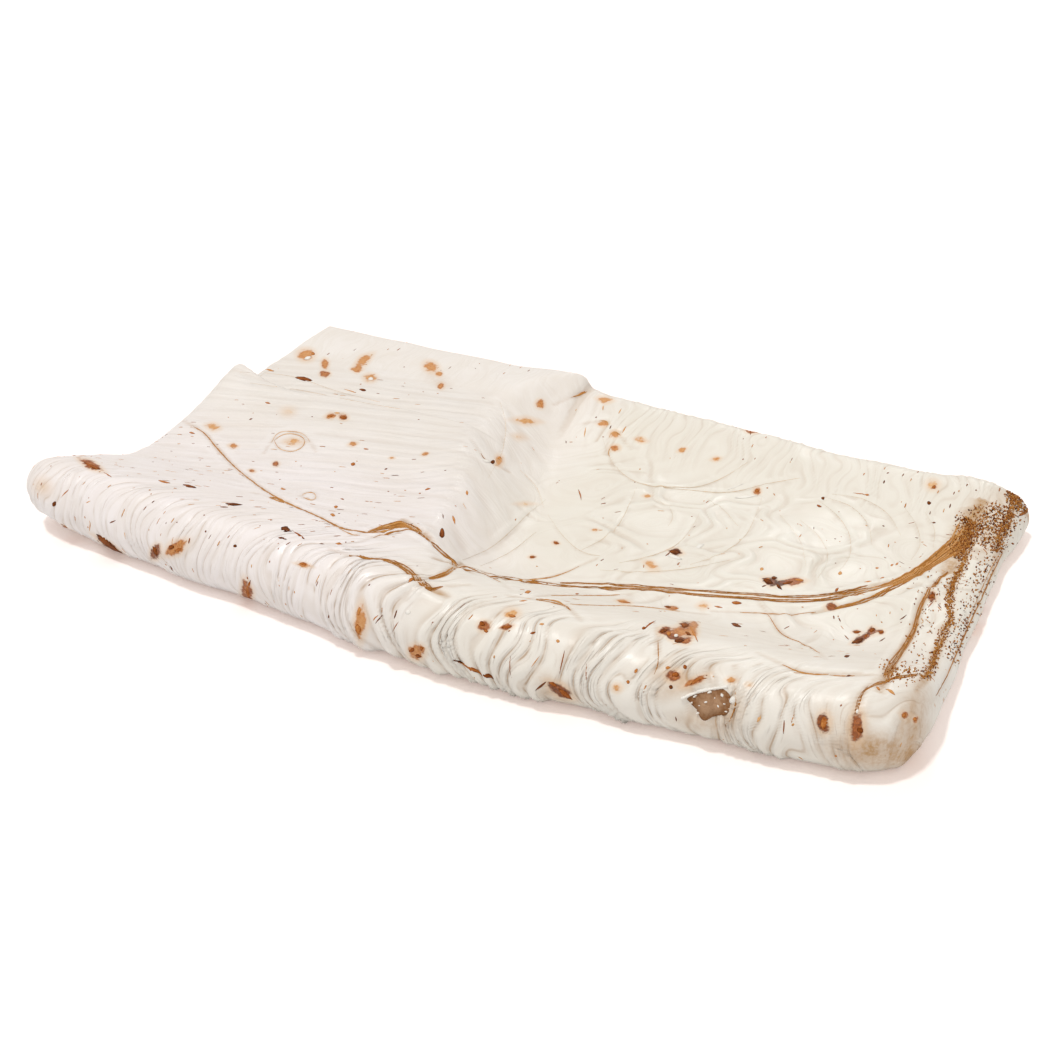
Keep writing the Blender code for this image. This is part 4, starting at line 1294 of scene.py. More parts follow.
def flat_disc(rings, sectors):
    """Radius shares and angles of a disc's points, and faces of a lens made of two discs.

    The two discs share their rim. The middle of each is one point.
    """
    share = np.repeat(np.arange(1, rings + 1) / rings, sectors)
    angle = np.tile(np.arange(sectors) * 2 * np.pi / sectors, rings)
    share, angle = np.concatenate([[0.0], share]), np.concatenate([[0.0], angle])
    lower = np.arange(1 + (rings - 1) * sectors)
    top_count = len(share)
    faces = []
    for side in (0, 1):
        ring = [side * top_count + 1 + r * sectors + np.arange(sectors) for r in range(rings)]
        if side:
            ring[-1] = 1 + (rings - 1) * sectors + np.arange(sectors)
        middle = np.full(sectors, side * top_count)
        fan = np.stack([middle, ring[0], np.roll(ring[0], -1)], axis=-1)
        walls = [np.stack([a, b, np.roll(b, -1)], axis=-1) for a, b in zip(ring[:-1], ring[1:])]
        walls += [np.stack([a, np.roll(b, -1), np.roll(a, -1)], axis=-1)
                  for a, b in zip(ring[:-1], ring[1:])]
        part = np.concatenate([fan] + walls)
        faces.append(part[:, ::-1] if side else part)
    share = np.concatenate([share, share[lower]])
    angle = np.concatenate([angle, angle[lower]])
    upper = np.arange(len(share)) < top_count
    return share, angle, upper, np.concatenate(faces)


def lenses(fine, at, axes, outline, rings, sectors, thick):
    """Flat lenses on the skin: each is a disc stretched by its two axes in rows and columns.

    at has each middle, axes two steps of rows and columns, and outline the share of the
    radius at each of the sectors. The top stands proud by a dome and the bottom sinks in.
    """
    share, angle, upper, faces = flat_disc(rings, sectors)
    sector = np.round(angle / (2 * np.pi) * sectors).astype(int) % sectors
    reach = (share * outline[:, sector])[..., None]
    angle = angle[:, None]
    step = reach * np.cos(angle) * axes[:, None, 0] + reach * np.sin(angle) * axes[:, None, 1]
    places = at[:, None, :] + step
    lift = thick[:, None] * (np.where(upper, 1.0 - share ** 2, -0.8) + 0.12)
    points = sample(fine.points, places) + lift[..., None] * sample(fine.normals, places)
    count = points.shape[1]
    all_faces = faces[None] + count * np.arange(len(at))[:, None, None]
    return points.reshape(-1, 3), all_faces.reshape(-1, 3).tolist(), count


def mark_axes(fine, at, marks):
    """Each mark's two half axes as steps of rows and columns, from its pixels."""
    turn = np.radians([m.turn for m in marks])
    long, wide = (0.5 * np.array([getattr(m, key) for m in marks]) for key in ("long", "wide"))
    along = np.stack([np.cos(turn), np.sin(turn)], axis=-1) * long[:, None]
    across = np.stack([np.sin(turn), -np.cos(turn)], axis=-1) * wide[:, None]
    change = steps_per_pixel(fine, at)
    return np.stack([np.einsum("nij,nj->ni", change, half) for half in (along, across)], axis=1)


def ragged(count, sectors, amount, rng):
    """Outlines of about radius 1 with soft random dents and spikes."""
    rough = rng.uniform(-1.0, 1.0, (count, sectors))
    return 1.0 + amount * (0.6 * rough + 0.4 * np.roll(rough, 1, axis=1))


def leaf(sectors):
    """The outline of a leaf with pointed ends: a diamond whose sides bulge by a power."""
    angle = np.arange(sectors) * 2 * np.pi / sectors
    along, across = np.abs(np.cos(angle)) ** LEAF_POWER, np.abs(np.sin(angle)) ** LEAF_POWER
    return (along + across) ** (-1.0 / LEAF_POWER)


def scattered_dashes(fine, rng):
    """Middles, axes and tones of small random marks that lie along the dough's lines.

    The way along a line, in rows and columns, is square to the slope of its flow's
    across coordinate. Dashes are most frequent on the left half and near the right edge.
    """
    x, y, s = fine.x, fine.y, fine.y - front_edge(fine.x)
    flows = np.stack([lines(x, y, fine.way)[0] for lines in FLOWS])
    shares = np.stack(zones(x, y))
    main = shares.argmax(axis=0)
    by_row, by_column = (pick(np.gradient(flows, axis=k), main) for k in (1, 2))
    way = np.stack([-by_column, by_row], axis=-1)
    weight = DASH_BASE + DASH_LEFT * (1.0 - ramp(*DASH_LEFT_END, x)) * (1.0 - ramp(*DASH_BACK_END, s))
    weight = weight + DASH_RIGHT * ramp(*DASH_RIGHT_START, x) * ramp(*DASH_ROLL_END, s)
    weight = weight * (1.0 - swell(x, y, *CORNER_BULGE, 1.0)) * (1.0 - shares[2])
    weight = weight * (1.0 - ramp(*UNDER_FADE, fine.inset))
    count = DASH_COUNT + DOT_COUNT
    chosen = rng.choice(x.size, size=count, replace=False, p=weight.ravel() / weight.sum())
    at = np.stack(np.unravel_index(chosen, x.shape), axis=-1) + rng.uniform(0.0, 1.0, (count, 2))
    along = sample(way, at)
    steps = [sample(np.gradient(fine.smooth, axis=k), at) for k in (0, 1)]

    def per_metre(way):
        world = steps[0] * way[:, :1] + steps[1] * way[:, 1:]
        return way / np.linalg.norm(world, axis=1, keepdims=True)

    along = per_metre(along)
    square = np.stack([along[:, 1], -along[:, 0]], axis=-1)
    square = -per_metre(square / np.stack([np.linalg.norm(step, axis=1) ** 2 for step in steps], axis=-1))
    dash = np.arange(count) < DASH_COUNT
    long = np.where(dash, rng.uniform(*DASH_LONG, count), rng.uniform(*DOT_LONG, count))
    wide = np.where(dash, rng.uniform(*DASH_WIDE, count), long * rng.uniform(0.6, 1.0, count))
    axes = np.stack([along * long[:, None], square * wide[:, None]], axis=1)
    dark = rng.uniform(size=count) < DARK_SHARE
    tone = np.where(dark, rng.uniform(*DARK_TONES, count), rng.uniform(*LIGHT_TONES, count))
    return at, axes, tone


def flecks_mesh(fine):
    """Points, faces and tones of the crisp flecks: named ones, then scattered ones."""
    rng = np.random.default_rng(SEED)
    marks = FLECKS + TORN_CHIPS
    at = find([(m.x, m.y) for m in marks], fine)
    axes = mark_axes(fine, at, marks)
    tone = np.minimum([m.tone for m in marks], DARKEST_FLECK)
    thick = np.where(tone < 0, WHITE_RISE, FLECK_RISE)
    thick[len(FLECKS):] += CHIP_RISE
    slim = np.array([m.long > 1.7 * m.wide for m in marks])
    outline = ragged(len(at), FLECK_SECTORS, 0.26, rng) * np.where(slim[:, None], leaf(FLECK_SECTORS), 1.0)
    first = lenses(fine, at, axes, outline, FLECK_RINGS, FLECK_SECTORS, thick)
    at, axes, small_tone = scattered_dashes(fine, rng)
    outline = ragged(len(at), GRAIN_SECTORS, 0.25, rng)
    second = lenses(fine, at, axes, outline, 1, GRAIN_SECTORS, np.full(len(at), DASH_RISE))
    faces = first[1] + (np.array(second[1]) + len(first[0])).tolist()
    points = np.concatenate([first[0], second[0]])
    share = flat_disc(FLECK_RINGS, FLECK_SECTORS)[0]
    ringed = tone[:, None] + (tone >= 0)[:, None] * rng.normal(0.12 * (share - 0.72), 0.05)
    return points, faces, np.concatenate([ringed.ravel(), np.repeat(small_tone, second[2])])


def dust_mesh(fine):
    """Points, faces and tones of the dust: grains strewn at random across each band."""
    rng = np.random.default_rng(SEED + 1)
    places, tones, turns = [], [], []
    for band in DUST:
        path = smooth_path(band.path, 1.0)
        t = rng.uniform(0, len(path) - 1.001, band.count)
        way, side = (each[t.astype(int)] for each in sides_of(path))
        off = np.clip(rng.normal(0.0, 0.5, band.count), -1.3, 1.3) * band.half
        middle = path[t.astype(int)] + way * (t % 1.0)[:, None]
        places.append(middle - side * off[:, None])
        tones.append(band.low + (band.high - band.low) * rng.uniform(size=band.count))
        turns.append(np.degrees(np.arctan2(way[:, 1], way[:, 0])) + rng.normal(0.0, 55.0, band.count))
    places, tones, turns = (np.concatenate(part) for part in (places, tones, turns))
    at = find(places, fine)
    long = rng.uniform(0.9, 2.7, len(at))
    wide = long * rng.uniform(0.35, 0.9, len(at))
    marks = [Mark(0, 0, *values, 0) for values in zip(long, wide, turns)]
    axes = mark_axes(fine, at, marks)
    outline = ragged(len(at), GRAIN_SECTORS, 0.3, rng)
    points, faces, each = lenses(fine, at, axes, outline, 1, GRAIN_SECTORS, np.full(len(at), GRAIN_RISE))
    return points, faces, np.repeat(tones, each)


def strand(fine, places, wide, thick):
    """A flat ribbon on the skin along picture places, closed at both ends.

    Across it, places are shares of the half width from 1 to -1 over the top, and two
    sunk shares back under it. The top's lift falls off as the square of the share.
    """
    at = follow(places, fine, 4)
    side = sides_of(places)[1] * (0.5 * wide)[:, None]
    step = np.einsum("nij,nj->ni", steps_per_pixel(fine, at), side)
    share = np.array([1.0, 0.5, 0.0, -0.5, -1.0, -0.6, 0.6])
    lift = np.where(np.arange(7) < 5, 1.0 - share ** 2 + 0.1, -0.7)
    grid = at[:, None, :] + share[None, :, None] * step[:, None, :]
    points = sample(fine.points, grid) + (thick[:, None] * lift)[..., None] * sample(fine.normals, grid)
    rows, columns = points.shape[:2]
    index = np.arange(rows * columns).reshape(rows, columns)
    around = np.roll(index, -1, axis=1)
    quads = np.stack([index[:-1], around[:-1], around[1:], index[1:]], axis=-1).reshape(-1, 4).tolist()
    faces = quads + [index[0, ::-1].tolist(), index[-1].tolist()]
    return points.reshape(-1, 3), faces


def creases_mesh(fine):
    """Points, faces, tones and lengths along of all strands, crease and painted shade, set in one mesh."""
    rng = np.random.default_rng(SEED + 2)
    points, faces, tones, lengths = [], [], [], []
    count = 0

    def lay(places, wide, tone, vary=0.16):
        nonlocal count
        i = np.arange(len(wide))
        taper = np.sqrt(np.clip(np.minimum(i, i[::-1]) / 2.0, 0.05, 1.0))
        rough = noise(i / 2.3 + 100 * tone, count * 0.37, 21)
        wide = np.maximum(STRAND_SHARE * wide * taper * (1.0 + 0.55 * rough), 0.12)
        part, part_faces = strand(fine, places, wide, 0.00010 + 0.00005 * wide)
        points.append(part)
        faces.extend([[k + count for k in face] for face in part_faces])
        each = min(tone, DARKEST_STRAND) + vary * noise(i / 6.0, count * 0.11, 22)
        tones.append(np.repeat(each, 7))
        lengths.append(np.stack([np.tile(np.arange(7), len(i)) * 0.31, np.repeat(i, 7) * 0.0006,
                                 np.full(7 * len(i), count * 0.001)], axis=-1))
        count += len(part)

    for line in CREASES:
        places = smooth_path(line.path, STRAND_STEP)
        wide = widths(line, np.linspace(0, 1, len(places)))
        strands = 1 if max(line.wide) < 2.0 else int(np.clip(round(1.3 * max(line.wide)), 2, 7))
        if strands == 1:
            lay(places, 0.9 * wide, line.tone - 0.06)
            continue
        side = sides_of(places)[1]
        for k in range(strands):
            drift = 0.30 * noise(np.arange(len(places)) / 11.0, 7.3 * k + line.tone, 23)
            off = (k / (strands - 1) - 0.5) * 1.05 + drift
            thin = (0.90 * wide / strands + 0.35) * rng.uniform(0.7, 1.3)
            lay(places + side * (off * wide)[:, None], thin, line.tone + rng.uniform(-0.12, 0.32))
    # Pale strands along the soft folds: painted shade in their grooves
    for strength, path in SOFT_FOLDS:
        places = smooth_path(path, STRAND_STEP)
        middle = np.sin(np.linspace(0.0, np.pi, len(places)))
        lay(places, 0.55 * strength * middle, FOLD_SHADE_TONE, 0.02)
    band = smooth_path(STREAK.path, STRAND_STEP)
    side = sides_of(band)[1]
    wide = widths(STREAK, np.linspace(0, 1, len(band)))
    for k in range(STREAK_STRANDS):
        start, end = int(rng.uniform(0.0, 0.35) * len(band)), int(rng.uniform(0.75, 1.0) * len(band))
        part = slice(start, end)
        off = (k / (STREAK_STRANDS - 1) - 0.5) * 0.9 + rng.uniform(-0.04, 0.04)
        places = band[part] + side[part] * (off * wide[part])[:, None]
        thin = 0.055 * wide[part] * rng.uniform(0.5, 1.3) + 0.5
        lay(places, thin, STREAK.tone + rng.uniform(-0.22, 0.28))
    return np.concatenate(points), faces, np.concatenate(tones), np.concatenate(lengths)


def torn_mesh(fine):
    """Points, faces and tones of the torn patch: its rim's disc, and a white lip above it."""
    middle = np.mean(TORN_RIM, axis=0)
    rim = np.array(TORN_RIM, dtype=float)[::-1] - middle
    angle = np.arctan2(-rim[:, 1], rim[:, 0]) % (2 * np.pi)
    order = np.argsort(angle)
    even = np.arange(TORN_SECTORS) * 2 * np.pi / TORN_SECTORS
    radius = np.interp(even, angle[order], np.hypot(*rim.T)[order], period=2 * np.pi)
    at = find([middle], fine)
    change = steps_per_pixel(fine, at)[0]
    axes = np.stack([change @ np.array([1.0, 0.0]), change @ np.array([0.0, -1.0])])[None]
    points, faces, count = lenses(fine, at, axes, radius[None], TORN_RINGS, TORN_SECTORS,
                                  np.array([TORN_RISE]))
    lip_places = smooth_path(TORN_LIP, 1.0)
    teeth = 3.2 + 1.6 * noise(np.arange(len(lip_places)) / 3.0, 0.0, 31)
    teeth[[0, -1]] = 0.4
    lip, lip_faces = strand(fine, lip_places, teeth, np.full(len(teeth), LIP_RISE))
    faces = faces + [[k + count for k in face] for face in lip_faces]
    # The crumb's tone is its share of the radius, which darkens it towards the rim as painted shade; the
    # lip is white
    tones = np.concatenate([flat_disc(TORN_RINGS, TORN_SECTORS)[0], np.full(len(lip), -1.0)])
    return np.concatenate([points, lip]), faces, tones


class NodePad:
    """Short ways to add nodes to one tree and to join them."""

    def __init__(self, tree):
        """Keep the tree that nodes are added to."""
        self.tree = tree

    def add(self, kind, inputs=(), **settings):
        """A node with its settings made, and its inputs linked or set."""
        made = self.tree.nodes.new(kind)
        for key, value in settings.items():
            setattr(made, key, value)
        self.feed(made, dict(inputs))
        return made

    def feed(self, node, inputs):
        """Link or set inputs of a node."""
        for key, value in inputs.items():
            if isinstance(value, bpy.types.NodeSocket):
                self.tree.links.new(value, node.inputs[key])
            else:
                node.inputs[key].default_value = value

    def math(self, operation, first, second=0.0):
        """One operation on two numbers."""
        return self.add("ShaderNodeMath", {0: first, 1: second}, operation=operation).outputs[0]

    def plus(self, first, second):
        """The sum of two numbers."""
        return self.math("ADD", first, second)

    def times(self, first, second):
        """The product of two numbers."""
        return self.math("MULTIPLY", first, second)

    def rise(self, value, start, end, low=0.0, high=1.0):
        """An S-shaped rise from low at start to high at end."""
        sockets = {"Value": value, "From Min": start, "From Max": end, "To Min": low, "To Max": high}
        return self.add("ShaderNodeMapRange", sockets, interpolation_type="SMOOTHSTEP").outputs[0]

    def blend(self, share, first, second, way="MIX"):
        """Two colours mixed by a share."""
        return self.add("ShaderNodeMix", {0: share, 6: first, 7: second}, data_type="RGBA",
                        blend_type=way).outputs[2]

    def speckle(self, vector, scale, detail=2.0, roughness=0.5):
        """Noise of a scale, from 0 to 1."""
        sockets = {"Vector": vector, "Scale": scale, "Detail": detail, "Roughness": roughness}
        return self.add("ShaderNodeTexNoise", sockets).outputs[0]

    def number(self, name):
        """A number attribute of the mesh."""
        return self.add("ShaderNodeAttribute", attribute_name=name).outputs["Fac"]

    def vector(self, name):
        """A vector attribute of the mesh."""
        return self.add("ShaderNodeAttribute", attribute_name=name).outputs["Vector"]

    def place(self):
        """The place on the piece, in its own metres."""
        return self.add("ShaderNodeTexCoord").outputs["Object"]

    def group(self, tree, inputs):
        """The outputs of a shader group placed with its own values."""
        return self.add("ShaderNodeGroup", inputs, node_tree=tree).outputs

    def finish(self, surface, colour, roughness, height, specular):
        """Feed the surface its colour and roughness, and a height in metres through one Bump."""
        bump = self.add("ShaderNodeBump", {"Height": height, "Strength": 1.0, "Distance": 1.0})
        self.feed(surface, {"Base Color": colour, "Roughness": roughness, "Normal": bump.outputs[0],
                            "Specular IOR Level": specular})


def solid(colour):
    """A colour with full opacity."""
    return (*colour, 1.0)


def new_group(name, inputs, outputs):
    """An empty shader group, its pad and its inner ends. An input of None is a vector."""
    tree = bpy.data.node_groups.new(name, "ShaderNodeTree")
    for label, value in inputs.items():
        kind = "NodeSocketVector" if value is None else "NodeSocketFloat"
        socket = tree.interface.new_socket(name=label, in_out="INPUT", socket_type=kind)
        if value is not None:
            socket.default_value = value
    for label in outputs:
        kind = "NodeSocketColor" if label == "Color" else "NodeSocketFloat"
        tree.interface.new_socket(name=label, in_out="OUTPUT", socket_type=kind)
    return tree, NodePad(tree), tree.nodes.new("NodeGroupInput").outputs, tree.nodes.new("NodeGroupOutput")


def toast_colour(colours):
    """The shared group that turns a tone into a browned colour.

    The tone is moved by fine noise, then read off a ramp from pale tan through orange and
    brown to char. A tone below 0 gives white.
    """
    if "Toast Colour" in bpy.data.node_groups:
        return bpy.data.node_groups["Toast Colour"]
    tree, pad, given, result = new_group("Toast Colour", {"Tone": 0.5, "Place": None, "Grain": 0.3},
                                         ("Color", "Roughness"))
    rough = pad.speckle(given["Place"], 900.0, 3.0, 0.65)
    moved = pad.times(pad.math("SUBTRACT", rough, 0.5), given["Grain"])
    scale = pad.add("ShaderNodeValToRGB", {"Fac": pad.plus(given["Tone"], moved)})
    stops = scale.color_ramp.elements
    stops[0].color, stops[1].color = solid(colours.pale), solid(colours.char)
    for place, name in TOAST_STOPS:
        stops.new(place).color = solid(getattr(colours, name))
    white = pad.math("LESS_THAN", given["Tone"], -0.001)
    pad.feed(result, {"Color": pad.blend(white, scale.outputs[0], solid(colours.white)),
                      "Roughness": pad.rise(rough, 0.3, 0.7, 0.42, 0.62)})
    return tree


def dough_grain():
    """The shared group of the dough's fine grain: two noises, as a height and as a mottle."""
    if "Dough Grain" in bpy.data.node_groups:
        return bpy.data.node_groups["Dough Grain"]
    tree, pad, given, result = new_group("Dough Grain", {"Place": None, "Scale": 700.0},
                                         ("Height", "Mottle"))
    fine = pad.speckle(given["Place"], given["Scale"], 3.0, 0.6)
    coarse = pad.speckle(given["Place"], pad.times(given["Scale"], 0.28), 2.0, 0.5)
    slow = pad.speckle(given["Place"], pad.times(given["Scale"], 0.05), 3.0, 0.55)
    height = pad.plus(pad.times(fine, 0.55), pad.times(coarse, 0.45))
    pad.feed(result, {"Height": height, "Mottle": slow})
    return tree


def fold_lines():
    """The shared group of crisp valleys between folds: from a phase, a place along and a strength.

    Near each whole phase lies a line between two folds. It comes and goes along the fold by noise,
    and a finer set of lines lies at three times the phase. The lines of the valleys and the fine
    lines are painted shade where they darken the colour, and the grooves and fine lines sink the bump.
    """
    if "Fold Lines" in bpy.data.node_groups:
        return bpy.data.node_groups["Fold Lines"]
    tree, pad, given, result = new_group("Fold Lines", {"Folds": None, "Width": 0.12, "Length": 0.012},
                                         ("Valley Shade", "Fine", "Tint", "Groove"))
    phase, along, strength = pad.add("ShaderNodeSeparateXYZ", {0: given["Folds"]}).outputs
    drawn = pad.math("DIVIDE", along, given["Length"])
    for times, start, kinds in LINE_SETS:
        count = pad.times(phase, times)
        away = pad.math("PINGPONG", count, 0.5)
        apart = pad.times(pad.math("ROUND", count), 3.71)
        spot = pad.add("ShaderNodeCombineXYZ", {0: apart, 1: drawn, 2: 1.7 * times})
        there = pad.rise(pad.speckle(spot.outputs[0], 1.0, 1.0), start, start + 0.22)
        for key, width in kinds.items():
            near = pad.rise(away, pad.times(given["Width"], width), 0.0)
            pad.feed(result, {key: pad.times(pad.times(near, there), strength)})
    spot = pad.add("ShaderNodeCombineXYZ", {0: pad.times(phase, 2.6), 1: pad.times(drawn, 0.5)})
    pad.feed(result, {"Tint": pad.speckle(spot.outputs[0], 1.0, 2.0, 0.6)})
    return tree


def new_material(name):
    """An empty material with its pad and its surface shader."""
    material = bpy.data.materials.new(name)
    material.use_nodes = True
    pad = NodePad(material.node_tree)
    surface = material.node_tree.nodes["Principled BSDF"]
    return material, pad, surface


def dough_material(context):
    """Satin baked dough: cream with painted shade in its hollows and fold lines, toasted places and their
    halos.
    """
    colours, sizes = context.scene.lavash_colours, context.scene.lavash_sizes
    material, pad, surface = new_material("Lavash Dough")
    place = pad.place()
    grain = pad.group(dough_grain(), {"Place": place, "Scale": 700.0})
    front, back, ridge = pad.add("ShaderNodeSeparateXYZ", {0: pad.vector("zone")}).outputs
    shares = {"front_flow": front, "back_flow": back, "ridge_flow": ridge,
              "basin_flow": pad.math("SUBTRACT", 1.0, pad.plus(front, pad.plus(back, ridge)))}
    total = {"Valley Shade": 0.0, "Fine": 0.0, "Tint": 0.0, "Groove": 0.0}
    for name, (width, reach) in LINE_WIDTHS.items():
        lines = pad.group(fold_lines(), {"Folds": pad.vector(name), "Width": width, "Length": reach})
        for key in total:
            total[key] = pad.plus(pad.times(lines[key], shares[name]), total[key])
    fine, streak = total["Fine"], total["Tint"]
    # Pink cream on the left, yellow cream to the right; the paler pink also lightens the ridge's slope,
    # which faces away from the key light: painted light
    colour = pad.blend(pad.number("warmth"), solid(colours.blush_and_painted_light), solid(colours.cream))
    colour = pad.blend(pad.rise(grain["Mottle"], 0.3, 0.7, 0.0, 0.20), colour, solid(colours.shade))
    colour = pad.blend(pad.rise(streak, 0.62, 0.36, 0.0, 0.18), colour, solid(colours.shade))
    # Hollows, the fold valleys and the fine lines darken the colour: painted shade
    hollow_shade = pad.times(pad.math("MAXIMUM", pad.number("hollow_shade"), 0.0), 0.31)
    painted_shade = pad.plus(pad.plus(hollow_shade, pad.times(total["Valley Shade"], 0.80)), pad.times(fine, 0.16))
    colour = pad.blend(painted_shade, colour, solid(colours.valley_shade))
    # The underside is darkened towards the same colour: painted shade
    colour = pad.blend(pad.times(pad.number("under"), 0.45), colour, solid(colours.valley_shade))
    patchy = pad.plus(pad.rise(grain["Height"], 0.40, 0.62, 0.60, 0.92),
                      pad.rise(grain["Mottle"], 0.35, 0.65, -0.15, 0.20))
    colour = pad.blend(pad.times(pad.number("tint"), patchy), colour, solid(colours.stain))
    toast = pad.number("toast")
    colour = pad.blend(pad.rise(toast, 0.0, 0.55, 0.0, 0.62), colour, solid(colours.halo))
    ragged_edge = pad.speckle(place, 300.0, 3.0, 0.55)
    worn = pad.plus(toast, pad.times(pad.math("SUBTRACT", ragged_edge, 0.5), 0.75))
    mask = pad.rise(worn, 0.40, 0.62)
    tone = pad.plus(pad.number("tone"), pad.times(pad.rise(worn, 0.95, 0.55), 0.10))
    toasted = pad.group(toast_colour(colours), {"Tone": tone, "Place": place, "Grain": 0.60})
    colour = pad.blend(mask, colour, toasted["Color"])
    gloss = pad.plus(pad.rise(grain["Mottle"], 0.3, 0.7, 0.30, 0.46), pad.times(mask, 0.10))
    grooves = pad.times(pad.plus(total["Groove"], pad.times(fine, 0.35)), sizes.line_depth)
    relief = pad.math("SUBTRACT", pad.times(grain["Height"], sizes.grain_height), grooves)
    relief = pad.plus(relief, pad.times(streak, sizes.streak_height))
    relief = pad.plus(relief, pad.times(pad.times(mask, ragged_edge), 0.00030))
    pad.finish(surface, colour, gloss, relief, 0.45)
    return material


def mark_material(context, name, grain, gloss, tall, ochre):
    """Browned marks coloured by their tone and a share of ochre, with their grain and gloss."""
    colours = context.scene.lavash_colours
    material, pad, surface = new_material(name)
    place, tone = pad.place(), pad.number("tone")
    toasted = pad.group(toast_colour(colours), {"Tone": tone, "Place": place, "Grain": grain})
    golden = pad.rise(tone, 0.85, 0.55, 0.0, ochre)
    colour = pad.blend(golden, toasted["Color"], solid(colours.stain))
    fine = pad.group(dough_grain(), {"Place": place, "Scale": 1400.0})
    rough = pad.times(toasted["Roughness"], gloss)
    pad.finish(surface, colour, rough, pad.times(fine["Height"], tall), 0.04)
    return material


def crease_material(context):
    """Browned crease strands and pale painted-shade strands: the tone is drawn out in streaks along each
    strand.
    """
    colours = context.scene.lavash_colours
    material, pad, surface = new_material("Browned Crease and Fold Shade")
    drawn = pad.group(fold_lines(), {"Folds": pad.vector("strand"), "Width": 0.2, "Length": 0.006})
    tone = pad.plus(pad.number("tone"), pad.rise(drawn["Tint"], 0.3, 0.7, -0.20, 0.20))
    browned = {"Tone": pad.math("MAXIMUM", tone, 0.0), "Place": pad.place(), "Grain": 0.25}
    toasted = pad.group(toast_colour(colours), browned)
    colour = pad.blend(pad.rise(tone, 0.15, 0.40, 0.0, 0.50), toasted["Color"], solid(colours.stain))
    pad.finish(surface, colour, toasted["Roughness"], pad.times(drawn["Tint"], 0.00015), 0.06)
    return material


def torn_material(context):
    """The thin brown crumb inside a tear: mottled, darker towards its rim as painted shade, matte and
    pitted, with a white lip.
    """
    colours = context.scene.lavash_colours
    material, pad, surface = new_material("Torn Crumb")
    tone = pad.number("tone")
    grain = pad.group(dough_grain(), {"Place": pad.place(), "Scale": 800.0})
    outwards = pad.plus(tone, pad.times(grain["Mottle"], 0.8))
    # Lighter in the middle and darker towards the rim: painted shade at the tear's rim, varied by the
    # grain's height and mottle
    shade = pad.plus(pad.rise(grain["Height"], 0.40, 0.60, 0.0, 0.45),
                     pad.rise(outwards, 1.3, 0.6, 0.0, 0.75))
    colour = pad.blend(shade, solid(colours.crumb), solid(colours.crumb_light))
    colour = pad.blend(pad.math("LESS_THAN", tone, 0.0), colour, solid(colours.white))
    roughness = pad.rise(grain["Height"], 0.3, 0.7, 0.45, 0.75)
    pad.finish(surface, colour, roughness, pad.times(grain["Height"], 0.0004), 0.08)
    return material


def length(name, description, default, top):
    """A size property in metres."""
    return FloatProperty(name=name, description=description, default=default, min=0.0, max=top,
                         precision=5, subtype="DISTANCE", unit="LENGTH")


def angle(name, description, degrees):
    """An angle property, given in degrees."""
    return FloatProperty(name=name, description=description, default=np.radians(degrees),
                         subtype="ANGLE", unit="ROTATION")


def strength(name, description, default):
    """The strength of a light."""
    return FloatProperty(name=name, description=description, default=default, min=0.0)


def paint(name, description, default):
    """A colour property, linear."""
    return FloatVectorProperty(name=name, description=description, default=default, min=0.0, max=1.0,
                               size=3, subtype="COLOR")


class LavashSizes(bpy.types.PropertyGroup):
    """Heights of the relief that the top skin carries over the bread's form."""

    fold_height: length("Fold Height", "Height of the gathers on the front roll", 0.0019, 0.004)
    fold_pitch: length("Fold Pitch", "Spacing of the gathers on the front roll", 0.0060, 0.03)
    rim_fold_height: length("Rim Fold Height", "Height of the short gathers on the back rim", 0.0005, 0.003)
    ridge_height: length("Ridge Wrinkles", "Height of the wrinkles down the ridge's slope", 0.0008, 0.003)
    swirl_height: length("Basin Swirls", "Height of the swirls in the basin", 0.0009, 0.003)
    swell_height: length("Slow Swells", "Height of the dough's slow unevenness", 0.0005, 0.003)
    blister_height: length("Blister Height", "Height of the rim round each toasted place", 0.0003, 0.002)
    crease_depth: length("Crease Depth", "Depth of the browned creases", 0.0009, 0.003)
    soft_fold_height: length("Soft Fold Height", "Height of the uncoloured folds", 0.00065, 0.003)
    torn_depth: length("Tear Depth", "Depth of the torn patch", 0.0010, 0.004)
    line_depth: length("Line Depth", "Depth of the crisp valleys between folds", 0.00045, 0.002)
    streak_height: length("Streak Height", "Height of the finest streaks along the dough", 0.00030, 0.001)
    grain_height: length("Grain Height", "Height of the dough's fine grain", 0.00012, 0.001)


